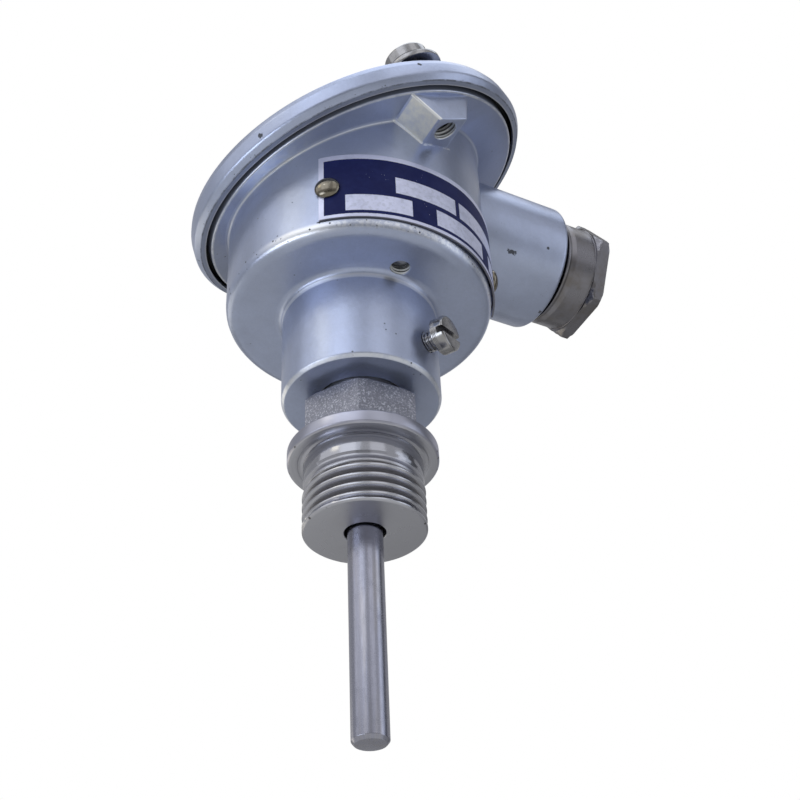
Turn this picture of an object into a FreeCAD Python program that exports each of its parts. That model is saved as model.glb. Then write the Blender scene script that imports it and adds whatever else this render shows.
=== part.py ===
import FreeCAD, Part
import Sketcher
import math
import os
import re
from FreeCAD import Placement, Rotation, Vector

doc = FreeCAD.newDocument("resistance_thermometer")
sheet = doc.addObject("Spreadsheet::Sheet", "Sizes")
# Sizes in millimetres and degrees, heights from the sealing face of the collar
sizes = {
    # Sheath tube and process fitting
    "immersion": 50.0,
    "tube_radius": 3.0,
    "tube_wall": 0.5,
    "tube_tip_wall": 1.0,
    "tube_tip_bevel": 0.6,
    "thread_radius": 10.4775,
    "thread_length": 13.4,
    "thread_end_bevel": 0.5,
    "relief_radius": 9.6,
    "relief_start": 5.5,
    "relief_width": 0.9,
    "collar_radius": 13.1,
    "collar_height": 2.6,
    "collar_bevel": 0.3,
    "shoulder_radius": 10.8,
    "shoulder_height": 0.6,
    "wrench_flats": 19.0,
    "wrench_height": 8.0,
    "wrench_bevel": 0.9,
    "spigot_radius": 7.5,
    "spigot_length": 18.5,
    "spigot_bevel": 0.6,
    "fitting_bore_radius": 3.3,
    "fitting_mouth_radius": 3.5,
    "fitting_mouth_depth": 9.0,
    # Connection head, cast
    "neck_radius": 14.25,
    "neck_gap": 1.8,
    "neck_length": 19.3,
    "neck_edge": 0.7,
    "neck_root": 1.6,
    "spigot_gap": 0.1,
    "spigot_seat_gap": 0.6,
    "neck_bore_bevel": 0.8,
    "drum_radius": 24.7,
    "drum_edge": 2.4,
    "drum_wall": 2.8,
    "floor_thickness": 4.0,
    "floor_hole_radius": 5.5,
    "rim_height": 62.6,
    "rim_tilt": 25.2,
    "rim_shift": 2.0,
    "rim_radius": 32.4,
    "rim_thickness": 3.4,
    "lug_width_top": 13.4,
    "lug_width_bottom": 6.4,
    "lug_drop": 5.95,
    "lug_setback": 1.0,
    "boss_radius": 13.0,
    "boss_drop": 0.75,
    "boss_end": 42.0,
    "boss_edge": 0.8,
    # Cover and its two screws
    "lip_start": 0.8,
    "lip_bevel_width": 0.7,
    "lip_bevel_height": 1.6,
    "cover_side_gap": 1.5,
    "cover_wall": 1.3,
    "cover_side_height": 3.8,
    "cover_side_draft": 0.2,
    "cover_edge_width": 1.7,
    "cover_edge_rise": 1.6,
    "cover_shelf_width": 7.0,
    "cover_shelf_rise": 1.9,
    "cover_dome_rise": 1.3,
    "cover_plate": 2.2,
    "gasket_thickness": 1.5,
    "gasket_inner_radius": 26.6,
    "gasket_side_gap": 0.3,
    "cover_screw_inset": 4.2,
    "cover_screw_radius": 2.5,
    "cover_screw_length": 13.0,
    "cover_screw_head_radius": 4.25,
    "cover_screw_head_height": 3.3,
    "cover_screw_slot": 1.2,
    "cover_screw_play": 0.4,
    "cover_seat_height": 7.4,
    "cover_seat_radius": 6.1,
    "cover_screw_lift": 0.8,
    "washer_radius": 5.7,
    "washer_thickness": 1.0,
    "thread_gap": 0.05,
    "washer_play": 0.15,
    "screw_end_bevel": 0.4,
    # Cable gland in the side boss
    "gland_radius": 10.0,
    "gland_thread_length": 9.0,
    "gland_thread_bevel": 0.6,
    "gland_neck_radius": 9.0,
    "gland_neck_width": 0.6,
    "gland_ring_radius": 11.2,
    "gland_ring_width": 0.9,
    "gland_ring_slope": 1.2,
    "gland_ring_step": 0.5,
    "gland_body_radius": 10.9,
    "gland_body_length": 5.9,
    "gland_flats": 22.0,
    "gland_wrench_length": 2.8,
    "gland_wrench_bevel": 0.8,
    "gland_wrench_angle": 26.4,
    "gland_bore_radius": 5.0,
    "gland_lead_in": 1.2,
    "gland_disc_thickness": 1.2,
    "gland_disc_gap": 0.25,
    "seal_length": 7.0,
    "seal_bore_radius": 4.2,
    "cable_hole_radius": 6.2,
    # Clamp screw in the neck
    "clamp_height": 20.7,
    "clamp_angle": -60.0,
    "clamp_radius": 2.0,
    "clamp_length": 8.9,
    "clamp_head_radius": 3.5,
    "clamp_head_height": 2.6,
    "clamp_slot": 1.0,
    # Name plate and rivets
    "plate_start_angle": -132.5,
    "plate_sweep_angle": 112.0,
    "plate_bottom": 34.9,
    "plate_height": 15.4,
    "plate_thickness": 0.4,
    "rivet_inset_angle": 3.7,
    "rivet_radius": 2.2,
    "rivet_rise": 1.3,
    "rivet_lift": 0.1,
    "rivet_shank_radius": 1.1,
    "rivet_shank_length": 2.9,
    # Measuring insert inside the head
    "insert_side_gap": 0.9,
    "insert_plate_thickness": 1.6,
    "insert_screw_wall_distance": 5.4,
    "insert_screw_radius": 2.0,
    "insert_screw_length": 14.6,
    "insert_screw_head_radius": 3.5,
    "insert_screw_head_height": 2.6,
    "insert_screw_slot": 1.0,
    "insert_screw_play": 0.25,
    "spring_length": 9.6,
    "spring_wire_radius": 0.4,
    "spring_gap": 0.35,
    "spring_turns": 4.0,
    "block_side_gap": 1.5,
    "block_height": 7.6,
    "block_window_radius": 4.3,
    "bridge_length": 20.0,
    "bridge_width": 18.0,
    "bridge_height": 4.0,
    "block_bore_radius": 2.8,
    "tube_rise": 3.0,
    "bar_offset": 6.2,
    "bar_width": 6.0,
    "bar_length": 16.0,
    "bar_thickness": 1.4,
    "terminal_spacing": 9.0,
    "terminal_radius": 1.5,
    "terminal_length": 4.0,
    "terminal_head_radius": 2.6,
    "terminal_head_height": 1.9,
    "terminal_slot": 0.7,
    "element_radius": 1.4,
    "element_length": 14.0,
    "rod_gap": 0.1,
    "lead_radius": 0.35,
    "lead_offset": 0.95,
    "lead_gap": 0.05,
    "lead_crest": 2.5,
}
names = list(sizes)
for row, name in enumerate(names, start=1):
    sheet.set("A%d" % row, name)
    sheet.set("B%d" % row, str(sizes[name]))
    sheet.setAlias("B%d" % row, name)
doc.recompute()


def rule(text):
    """An expression in which every size name points at its cell."""
    return re.sub(r"[a-z][a-z_]*", lambda m: ("Sizes." if m.group(0) in names else "") + m.group(0), text)


def bind(item, prop, text):
    item.setExpression(prop, rule(text))


def place(item, x="0", y="0", z="0", turn=None, angle=None):
    """Puts an item at named distances, turned about one axis."""
    if turn is not None:
        item.Placement = Placement(Vector(0, 0, 0), turn)
    bind(item, "Placement.Base.x", x)
    bind(item, "Placement.Base.y", y)
    bind(item, "Placement.Base.z", z)
    if angle is not None:
        bind(item, "Placement.Rotation.Angle", angle)
    return item


def on_rim(item):
    """Moves an item drawn in the cover's own frame onto the slanted rim."""
    return place(item, "rim_shift * cos(rim_tilt)", "0", "rim_height + rim_shift * sin(rim_tilt)",
                 Rotation(Vector(0, -1, 0), 25), "rim_tilt")


def cylinder(name, radius, height, x="0", y="0", z="0", turn=None):
    item = doc.addObject("Part::Cylinder", name)
    bind(item, "Radius", radius)
    bind(item, "Height", height)
    return place(item, x, y, z, turn)


def block(name, length, width, height, x="0", y="0", z="0", turn=None):
    """A box centred on its X and Y."""
    item = doc.addObject("Part::Box", name)
    bind(item, "Length", length)
    bind(item, "Width", width)
    bind(item, "Height", height)
    return place(item, "%s - (%s) / 2" % (x, length), "%s - (%s) / 2" % (y, width), z, turn)


def fuse(name, items):
    item = doc.addObject("Part::MultiFuse", name)
    item.Shapes = items
    item.Refine = True
    return item


def cut(name, base, items):
    tool = items[0]
    if len(items) > 1:
        tool = fuse(name + "_cutters", items)
    item = doc.addObject("Part::Cut", name)
    item.Base = base
    item.Tool = tool
    item.Refine = True
    return item


def common(name, base, tool):
    item = doc.addObject("Part::Common", name)
    item.Base = base
    item.Tool = tool
    return item


def turned_about_z(name, item, angle):
    """An item that is already placed, swung about the probe's axis."""
    holder = doc.addObject("Part::Compound", name)
    holder.Links = [item]
    return place(holder, turn=Rotation(Vector(0, 0, -1), 60), angle="-(%s)" % angle)


def mirrored(name, source):
    item = doc.addObject("Part::Mirroring", name)
    item.Source = source
    item.Normal = Vector(0, 1, 0)
    return item


def plane_of(body, role):
    for item in body.Origin.OriginFeatures:
        if item.Role == role:
            return item


def lathe(name, outline):
    """A body turned about Z from its outline of radius and height pairs."""
    body = doc.addObject("PartDesign::Body", name)
    sketch = body.newObject("Sketcher::SketchObject", name + "_outline")
    sketch.AttachmentSupport = [(plane_of(body, "XZ_Plane"), "")]
    sketch.MapMode = "FlatFace"
    count = len(outline)
    points = [Vector(amount(radius), amount(height), 0) for radius, height in outline]
    for k in range(count):
        sketch.addGeometry(Part.LineSegment(points[k], points[(k + 1) % count]), False)
    for k in range(count):
        sketch.addConstraint(Sketcher.Constraint("Coincident", k, 2, (k + 1) % count, 1))
    for k in range(count):
        radius, height = outline[k]
        if radius == "0":
            sketch.addConstraint(Sketcher.Constraint("PointOnObject", k, 1, -2))
        else:
            n = sketch.addConstraint(Sketcher.Constraint("DistanceX", -1, 1, k, 1, points[k].x))
            sketch.setExpression("Constraints[%d]" % n, rule(radius))
        if height == "0":
            sketch.addConstraint(Sketcher.Constraint("PointOnObject", k, 1, -1))
        else:
            n = sketch.addConstraint(Sketcher.Constraint("DistanceY", -1, 1, k, 1, points[k].y))
            sketch.setExpression("Constraints[%d]" % n, rule(height))
    turned = body.newObject("PartDesign::Revolution", name + "_turned")
    turned.Profile = sketch
    turned.ReferenceAxis = (sketch, ["V_Axis"])
    turned.Angle = 360
    body.Tip = turned
    return body


probe = doc.addObject("App::FeaturePython", "probe")
probe.addProperty("App::PropertyFloat", "amount")


def amount(text):
    """The number that a rule gives with the sizes as they stand."""
    probe.setExpression("amount", rule(text))
    probe.recompute()
    return probe.amount


def cheese_screw(name, radius, length, head_radius, head_height, slot):
    """A slotted cheese-head screw, the underside of its head at height 0."""
    turned = lathe(name + "_blank", [
        ("0", "-(%s)" % length),
        ("(%s) - screw_end_bevel" % radius, "-(%s)" % length),
        (radius, "-(%s) + screw_end_bevel" % length),
        (radius, "0"),
        (head_radius, "0"),
        (head_radius, "(%s) * 0.9" % head_height),
        ("(%s) * 0.92" % head_radius, head_height),
        ("0", head_height),
    ])
    groove = block(name + "_slot", "(%s) * 3" % head_radius, slot, head_height, z="(%s) * 0.55" % head_height)
    return cut(name, turned, [groove])


def coil_shape(radius, wire, length, turns):
    """A coil of flat-sided wire, its first point on height 0 and its last on the length."""
    steps = 12
    sides = 6
    count = int(turns * steps)
    rings = []
    for k in range(count + 1):
        turn = 2 * math.pi * k / steps
        height = wire + (length - 2 * wire) * k / count
        ring = []
        for j in range(sides):
            lean = 2 * math.pi * j / sides
            reach = radius + wire * math.cos(lean)
            ring.append(Vector(reach * math.cos(turn), reach * math.sin(turn), height + wire * math.sin(lean)))
        rings.append(ring)
    faces = [Part.Face(Part.makePolygon(ring + ring[:1])) for ring in (rings[0], rings[-1])]
    for k in range(count):
        for j in range(sides):
            a, b = rings[k][j], rings[k][(j + 1) % sides]
            c, d = rings[k + 1][(j + 1) % sides], rings[k + 1][j]
            faces.append(Part.Face(Part.makePolygon([a, b, c, a])))
            faces.append(Part.Face(Part.makePolygon([a, c, d, a])))
    solid = Part.Solid(Part.Shell(faces))
    if solid.Volume < 0:
        solid.reverse()
    return solid


along_x = Rotation(Vector(0, 1, 0), 90)
# How far a cutter runs past the face that it opens, and a length that clears the whole head
overlap = "1"
whole_head = "rim_height"
half_head_down = "-rim_height / 2"
made = []


def node(item, name):
    item.Label = name
    made.append(item)
    return item


# Process fitting: thread, collar, wrench flats, spigot that enters the neck
wrench_top = "collar_height + shoulder_height + wrench_height"
spigot_top = wrench_top + " + spigot_length"
fitting_turned = lathe("fitting_turned", [
    ("0", "-thread_length"),
    ("thread_radius - thread_end_bevel", "-thread_length"),
    ("thread_radius", "-thread_length + thread_end_bevel"),
    ("thread_radius", "-relief_start"),
    ("relief_radius", "-relief_start"),
    ("relief_radius", "-relief_start + relief_width"),
    ("thread_radius", "-relief_start + relief_width"),
    ("thread_radius", "0"),
    ("collar_radius - collar_bevel", "0"),
    ("collar_radius", "collar_bevel"),
    ("collar_radius", "collar_height - collar_bevel"),
    ("collar_radius - collar_bevel", "collar_height"),
    ("shoulder_radius", "collar_height"),
    ("shoulder_radius", "collar_height + shoulder_height"),
    ("spigot_radius", "collar_height + shoulder_height"),
    ("spigot_radius", spigot_top + " - spigot_bevel"),
    ("spigot_radius - spigot_bevel", spigot_top),
    ("0", spigot_top),
])
wrench_corner = "wrench_flats / sqrt(3)"
wrench_prism = doc.addObject("Part::Prism", "wrench_prism")
wrench_prism.Polygon = 6
bind(wrench_prism, "Circumradius", wrench_corner)
bind(wrench_prism, "Height", "wrench_height")
place(wrench_prism, z="collar_height + shoulder_height")
wrench_turned = lathe("wrench_turned", [
    ("0", "collar_height + shoulder_height"),
    (wrench_corner + " - wrench_bevel", "collar_height + shoulder_height"),
    (wrench_corner, "collar_height + shoulder_height + wrench_bevel * 0.5"),
    (wrench_corner, wrench_top + " - wrench_bevel * 0.5"),
    (wrench_corner + " - wrench_bevel", wrench_top),
    ("0", wrench_top),
])
wrench = common("wrench", wrench_prism, wrench_turned)
fitting_bore = cylinder("fitting_bore", "fitting_bore_radius",
                        "thread_length + %s + %s * 2" % (spigot_top, overlap), z="-thread_length - " + overlap)
fitting_mouth = cylinder("fitting_mouth", "fitting_mouth_radius", "fitting_mouth_depth + " + overlap,
                         z="-thread_length - " + overlap)
process_fitting = node(cut("process_fitting", fuse("fitting_solid", [fitting_turned, wrench]),
                           [fitting_bore, fitting_mouth]), "process_fitting")

# Connection head: neck and drum are turned, rim and lugs are drawn in the cover's frame
neck_start = wrench_top + " + neck_gap"
floor_low = neck_start + " + neck_length"
floor_high = floor_low + " + floor_thickness"
drum_top = "rim_height + drum_radius * 1.1 * tan(rim_tilt)"
chamber_radius = "drum_radius - drum_wall"
insert_screw_offset = chamber_radius + " - insert_screw_wall_distance"
boss_height = "rim_height - boss_drop"
cover_screw_offset = "(rim_radius - cover_screw_inset)"
lug_start = "drum_radius - drum_wall / 2"
lug_reach = "rim_radius - lug_setback"
shell_body = lathe("shell_turned", [
    ("0", neck_start),
    ("neck_radius - neck_edge", neck_start),
    ("neck_radius", neck_start + " + neck_edge"),
    ("neck_radius", floor_low),
    ("drum_radius", floor_low),
    ("drum_radius", drum_top),
    ("0", drum_top),
])
doc.recompute()


def ring_edge(shape, radius, height):
    """The name of the circular edge at this radius and height."""
    for number, edge in enumerate(shape.Edges):
        curve = edge.Curve
        if isinstance(curve, Part.Circle):
            if abs(curve.Radius - radius) < 0.01 and abs(curve.Center.z - height) < 0.01:
                return "Edge%d" % (number + 1)


level = amount(floor_low)
for radius, reach in (("drum_radius", "drum_edge"), ("neck_radius", "neck_root")):
    turned = shell_body.Tip
    rounding = shell_body.newObject("PartDesign::Fillet", reach + "_rounding")
    rounding.Base = (turned, [ring_edge(turned.Shape, amount(radius), level)])
    bind(rounding, "Radius", reach)
    shell_body.Tip = rounding
    doc.recompute()

boss = lathe("boss_turned", [
    ("0", "0"),
    ("boss_radius", "0"),
    ("boss_radius", "boss_end - boss_edge"),
    ("boss_radius - boss_edge", "boss_end"),
    ("0", "boss_end"),
])
place(boss, z=boss_height, turn=along_x)
above_rim = on_rim(cylinder("above_rim", "rim_radius * 4", "rim_height"))
trimmed = cut("drum_trimmed", fuse("drum_and_boss", [shell_body, boss]), [above_rim])
rim_disc = cylinder("rim_disc", "rim_radius", "rim_thickness")
lug = doc.addObject("Part::Wedge", "lug")
bind(lug, "Xmin", "-lug_width_top / 2")
bind(lug, "Xmax", "lug_width_top / 2")
bind(lug, "X2min", "-lug_width_bottom / 2")
bind(lug, "X2max", "lug_width_bottom / 2")
bind(lug, "Ymin", "-rim_thickness / 2")
bind(lug, "Ymax", "lug_drop")
bind(lug, "Zmin", lug_start)
bind(lug, "Zmax", lug_reach)
bind(lug, "Z2min", lug_start)
bind(lug, "Z2max", lug_reach)
place(lug, turn=Rotation(Vector(1, 0, 0), -90))
lug_pair = fuse("lug_pair", [lug, mirrored("lug_rear", lug)])
rim_solid = on_rim(fuse("rim_solid", [rim_disc, lug_pair]))

chamber = cylinder("chamber", chamber_radius, "rim_height * 2", z=floor_high)
floor_hole = cylinder("floor_hole", "floor_hole_radius", "floor_thickness + neck_length", z=spigot_top)
neck_bore = lathe("neck_bore", [
    ("0", "%s - %s" % (neck_start, overlap)),
    ("spigot_radius + spigot_gap + neck_bore_bevel + " + overlap, "%s - %s" % (neck_start, overlap)),
    ("spigot_radius + spigot_gap", neck_start + " + neck_bore_bevel"),
    ("spigot_radius + spigot_gap", spigot_top + " + spigot_seat_gap"),
    ("0", spigot_top + " + spigot_seat_gap"),
])
gland_start = "boss_end - gland_thread_length - gland_disc_thickness - seal_length"
gland_socket = cylinder("gland_socket", "gland_radius + thread_gap", "boss_end",
                        gland_start, "0", boss_height, along_x)
cable_hole = cylinder("cable_hole", "cable_hole_radius", "boss_end", "0", "0", boss_height, along_x)
clamp_hole = turned_about_z(
    "clamp_hole_turned",
    cylinder("clamp_hole", "clamp_radius + thread_gap", "neck_radius * 2", "0", "0", "clamp_height", along_x),
    "clamp_angle")
insert_holes = []
for side in (-1, 1):
    insert_holes.append(cylinder("insert_hole", "insert_screw_radius + thread_gap",
                                 "floor_thickness + neck_root * 2",
                                 y="%d * (%s)" % (side, insert_screw_offset), z=floor_low + " - neck_root"))
cover_hole = cylinder("cover_hole", "cover_screw_radius + thread_gap", whole_head,
                      y="-" + cover_screw_offset, z=half_head_down)
cover_holes = on_rim(fuse("cover_holes", [cover_hole, mirrored("cover_hole_rear", cover_hole)]))

rivet_height = "plate_bottom + plate_height / 2"
rivet_angles = {
    "left": "plate_start_angle + rivet_inset_angle",
    "right": "plate_start_angle + plate_sweep_angle - rivet_inset_angle",
}
rivet_holes = []
for angle in rivet_angles.values():
    hole = cylinder("rivet_hole_line", "rivet_shank_radius", "drum_radius * 1.1",
                    "0", "0", rivet_height, along_x)
    rivet_holes.append(turned_about_z("rivet_hole", hole, angle))

head_housing = node(cut("head_housing", fuse("head_solid", [trimmed, rim_solid]),
                        [chamber, floor_hole, neck_bore, gland_socket, cable_hole, clamp_hole, cover_holes]
                        + insert_holes + rivet_holes), "head_housing")

# Cover, gasket and cover screws, all drawn in the cover's frame
cover_inner = "rim_radius + cover_side_gap"
cover_outer = cover_inner + " + cover_wall"
side_top = "lip_start + cover_side_height"
edge_top = side_top + " + cover_edge_rise"
shelf_top = edge_top + " + cover_shelf_rise"
gasket_top = "rim_thickness + gasket_thickness"
cover_turned = lathe("cover_turned", [
    (cover_outer + " - lip_bevel_width", "lip_start"),
    (cover_outer, "lip_start + lip_bevel_height"),
    (cover_outer + " - cover_side_draft", side_top),
    (cover_outer + " - cover_edge_width * 0.45", side_top + " + cover_edge_rise * 0.7"),
    (cover_outer + " - cover_edge_width", edge_top),
    (cover_outer + " - cover_edge_width - cover_shelf_width", shelf_top),
    (cover_outer + " - cover_edge_width - cover_shelf_width * 2", shelf_top + " + cover_dome_rise * 0.7"),
    ("0", shelf_top + " + cover_dome_rise"),
    ("0", shelf_top + " + cover_dome_rise - cover_plate"),
    ("gasket_inner_radius * 0.7", shelf_top + " + cover_dome_rise * 0.7 - cover_plate"),
    ("gasket_inner_radius * 0.9", gasket_top),
    (cover_inner, gasket_top),
    (cover_inner, "lip_start"),
])
cover_cuts = []
for side in (-1, 1):
    cover_cuts.append(cylinder("cover_passage", "cover_screw_radius + cover_screw_play", whole_head,
                               y="%d * %s" % (side, cover_screw_offset), z=half_head_down))
    cover_cuts.append(cylinder("cover_seat", "cover_seat_radius", whole_head,
                               y="%d * %s" % (side, cover_screw_offset), z="cover_seat_height"))
cover = node(on_rim(cut("cover", cover_turned, cover_cuts)), "cover")
gasket_cuts = [cylinder("gasket_centre", "gasket_inner_radius", "gasket_thickness * 3",
                        z="rim_thickness - gasket_thickness")]
for side in (-1, 1):
    gasket_cuts.append(cylinder("gasket_passage", "cover_screw_radius + cover_screw_play", whole_head,
                                y="%d * %s" % (side, cover_screw_offset), z=half_head_down))
gasket_disc = cylinder("gasket_disc", cover_inner + " - gasket_side_gap", "gasket_thickness", z="rim_thickness")
node(on_rim(cut("cover_gasket", gasket_disc, gasket_cuts)), "cover_gasket")


def beside_cover(item, side, lift):
    """Puts a fastener on a screw axis of the cover, its zero at a height over the rim."""
    return place(item, "rim_shift * cos(rim_tilt) - (%s) * sin(rim_tilt)" % lift,
                 "%d * %s" % (side, cover_screw_offset),
                 "rim_height + rim_shift * sin(rim_tilt) + (%s) * cos(rim_tilt)" % lift,
                 Rotation(Vector(0, -1, 0), 25), "rim_tilt")


washer_low = "cover_seat_height + cover_screw_lift"
for side, word in ((-1, "front"), (1, "rear")):
    washer_disc = cylinder("washer_disc", "washer_radius", "washer_thickness")
    washer_hole = cylinder("washer_hole", "cover_screw_radius + washer_play", "washer_thickness * 3",
                           z="-washer_thickness")
    washer = cut("cover_washer_" + word, washer_disc, [washer_hole])
    node(beside_cover(washer, side, washer_low), "cover_washer_" + word)
    screw = cheese_screw("cover_screw_" + word, "cover_screw_radius", "cover_screw_length",
                         "cover_screw_head_radius", "cover_screw_head_height", "cover_screw_slot")
    node(beside_cover(screw, side, washer_low + " + washer_thickness"), "cover_screw_" + word)

# Cable gland: seal ring, thrust disc and hexagonal pressure screw along X
ring_start = "gland_thread_length + gland_neck_width"
wrench_start = ring_start + " + gland_ring_width + gland_body_length"
gland_end = wrench_start + " + gland_wrench_length"
gland_turned = lathe("gland_turned", [
    ("0", "0"),
    ("gland_radius - gland_thread_bevel", "0"),
    ("gland_radius", "gland_thread_bevel"),
    ("gland_radius", "gland_thread_length - gland_thread_bevel"),
    ("gland_neck_radius", "gland_thread_length - gland_thread_bevel"),
    ("gland_neck_radius", ring_start),
    ("gland_ring_radius", ring_start),
    ("gland_ring_radius", ring_start + " + gland_ring_width * 0.6"),
    ("gland_body_radius - gland_ring_step", ring_start + " + gland_ring_width"),
    ("gland_body_radius", ring_start + " + gland_ring_width + gland_ring_slope"),
    ("gland_body_radius", gland_end),
    ("0", gland_end),
])
gland_corner = "gland_flats / sqrt(3)"
gland_prism = doc.addObject("Part::Prism", "gland_prism")
gland_prism.Polygon = 6
bind(gland_prism, "Circumradius", gland_corner)
bind(gland_prism, "Height", "gland_wrench_length")
place(gland_prism, z=wrench_start, turn=Rotation(Vector(0, 0, 1), 26), angle="gland_wrench_angle")
gland_chamfer = lathe("gland_chamfer", [
    ("0", wrench_start),
    (gland_corner + " - gland_wrench_bevel * 1.6", wrench_start),
    (gland_corner, wrench_start + " + gland_wrench_bevel"),
    (gland_corner, gland_end + " - gland_wrench_bevel * 0.5"),
    (gland_corner + " - gland_wrench_bevel * 0.9", gland_end),
    ("0", gland_end),
])
gland_hex = common("gland_hex", gland_prism, gland_chamfer)
gland_bore = lathe("gland_bore", [
    ("0", "-gland_lead_in"),
    ("gland_bore_radius", "-gland_lead_in"),
    ("gland_bore_radius", gland_end + " - gland_lead_in"),
    ("gland_bore_radius + gland_lead_in * 2", gland_end + " + gland_lead_in"),
    ("0", gland_end + " + gland_lead_in"),
])
gland_screw = cut("gland_screw", fuse("gland_solid", [gland_turned, gland_hex]), [gland_bore])
place(gland_screw, "boss_end - gland_thread_length + gland_neck_width", "0", boss_height, along_x)
node(gland_screw, "gland_screw")
disc_blank = cylinder("disc_blank", "gland_radius - gland_disc_gap", "gland_disc_thickness")
disc_hole = cylinder("disc_hole", "gland_bore_radius", "gland_disc_thickness * 3", z="-gland_disc_thickness")
disc = cut("gland_disc", disc_blank, [disc_hole])
node(place(disc, gland_start + " + seal_length + gland_neck_width", "0", boss_height, along_x), "gland_disc")
seal_blank = cylinder("seal_blank", "gland_radius - gland_disc_gap", "seal_length + gland_neck_width")
seal_hole = cylinder("seal_hole", "seal_bore_radius", "seal_length * 3", z="-seal_length")
seal = cut("gland_seal", seal_blank, [seal_hole])
node(place(seal, gland_start, "0", boss_height, along_x), "gland_seal")

# Clamp screw that holds the spigot in the neck, slightly backed out of the paint
clamp_blank = cheese_screw("clamp_blank", "clamp_radius", "clamp_length",
                           "clamp_head_radius", "clamp_head_height", "clamp_slot")
place(clamp_blank, "spigot_radius + clamp_length", "0", "clamp_height", along_x)
node(turned_about_z("clamp_screw", clamp_blank, "clamp_angle"), "clamp_screw")

# Name plate bent round the drum and its two dome rivets
plate_blank = doc.addObject("Part::Cylinder", "plate_blank")
bind(plate_blank, "Radius", "drum_radius + plate_thickness")
bind(plate_blank, "Height", "plate_height")
bind(plate_blank, "Angle", "plate_sweep_angle")
place(plate_blank, z="plate_bottom", turn=Rotation(Vector(0, 0, -1), 60), angle="-plate_start_angle")
plate_inside = cylinder("plate_inside", "drum_radius", "plate_height * 3", z="plate_bottom - plate_height")
node(cut("name_plate", plate_blank, [plate_inside] + rivet_holes), "name_plate")
for word, angle in rivet_angles.items():
    dome = lathe("rivet_dome_" + word, [
        ("0", "-rivet_shank_length"),
        ("rivet_shank_radius", "-rivet_shank_length"),
        ("rivet_shank_radius", "rivet_lift"),
        ("rivet_radius", "rivet_lift"),
        ("rivet_radius * 0.92", "rivet_rise * 0.5"),
        ("rivet_radius * 0.7", "rivet_rise * 0.82"),
        ("rivet_radius * 0.36", "rivet_rise"),
        ("0", "rivet_rise + rivet_lift / 2"),
    ])
    place(dome, "drum_radius + plate_thickness", "0", rivet_height, along_x)
    node(turned_about_z("rivet_" + word, dome, angle), "rivet_" + word)

# Measuring insert: sheath tube, plate, terminal block, bars, leads and element
plate_top = floor_high + " + insert_plate_thickness"
tube_top = plate_top + " + tube_rise"
tube_outer = lathe("tube_outer", [
    ("0", "-immersion"),
    ("tube_radius - tube_tip_bevel", "-immersion"),
    ("tube_radius", "-immersion + tube_tip_bevel"),
    ("tube_radius", tube_top),
    ("0", tube_top),
])
tube_bore = cylinder("tube_bore", "tube_radius - tube_wall", "immersion + rim_height * 2",
                     z="-immersion + tube_tip_wall")
node(cut("sheath_tube", tube_outer, [tube_bore]), "sheath_tube")
below_plate = floor_high + " - insert_plate_thickness"
insert_cuts = [cylinder("insert_centre", "tube_radius", "insert_plate_thickness * 3", z=below_plate)]
for side in (-1, 1):
    insert_cuts.append(cylinder("insert_passage", "insert_screw_radius + insert_screw_play",
                                "insert_plate_thickness * 3", y="%d * (%s)" % (side, insert_screw_offset),
                                z=below_plate))
insert_disc = cylinder("insert_disc", chamber_radius + " - insert_side_gap", "insert_plate_thickness",
                       z=floor_high)
node(cut("insert_plate", insert_disc, insert_cuts), "insert_plate")
block_top = plate_top + " + block_height"
bridge_top = block_top + " + bridge_height"
block_disc = cylinder("block_disc", chamber_radius + " - block_side_gap", "block_height", z=plate_top)
bridge = block("bridge", "bridge_length", "bridge_width", "bridge_height", z=block_top)
below_block = "%s - %s" % (plate_top, overlap)
block_cuts = [
    cylinder("block_bore", "block_bore_radius", "block_height + bridge_height + %s * 2" % overlap,
             z=below_block),
    cylinder("block_socket", "tube_radius + rod_gap", "tube_rise", z=plate_top),
]
for side in (-1, 1):
    block_cuts.append(cylinder("block_window", "block_window_radius", "block_height + %s * 2" % overlap,
                               y="%d * (%s)" % (side, insert_screw_offset), z=below_block))
    for end in (-1, 1):
        block_cuts.append(cylinder("terminal_hole", "terminal_radius + thread_gap", "terminal_length",
                                   "%d * bar_offset" % side, "%d * terminal_spacing / 2" % end,
                                   bridge_top + " - terminal_length + bar_thickness"))
node(cut("terminal_block", fuse("block_solid", [block_disc, bridge]), block_cuts), "terminal_block")
bar_top = bridge_top + " + bar_thickness"
for side, word in ((-1, "left"), (1, "right")):
    bar_cuts = []
    for end in (-1, 1):
        bar_cuts.append(cylinder("bar_hole", "terminal_radius + thread_gap", "bar_thickness * 3",
                                 "%d * bar_offset" % side, "%d * terminal_spacing / 2" % end,
                                 bridge_top + " - bar_thickness"))
    bar = block("bar_blank", "bar_width", "bar_length", "bar_thickness",
                x="%d * bar_offset" % side, z=bridge_top)
    node(cut("terminal_bar_" + word, bar, bar_cuts), "terminal_bar_" + word)
    for end, place_word in ((-1, "front"), (1, "rear")):
        label = "terminal_screw_%s_%s" % (word, place_word)
        screw = cheese_screw(label, "terminal_radius", "terminal_length",
                             "terminal_head_radius", "terminal_head_height", "terminal_slot")
        node(place(screw, "%d * bar_offset" % side, "%d * terminal_spacing / 2" % end, bar_top), label)

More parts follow.
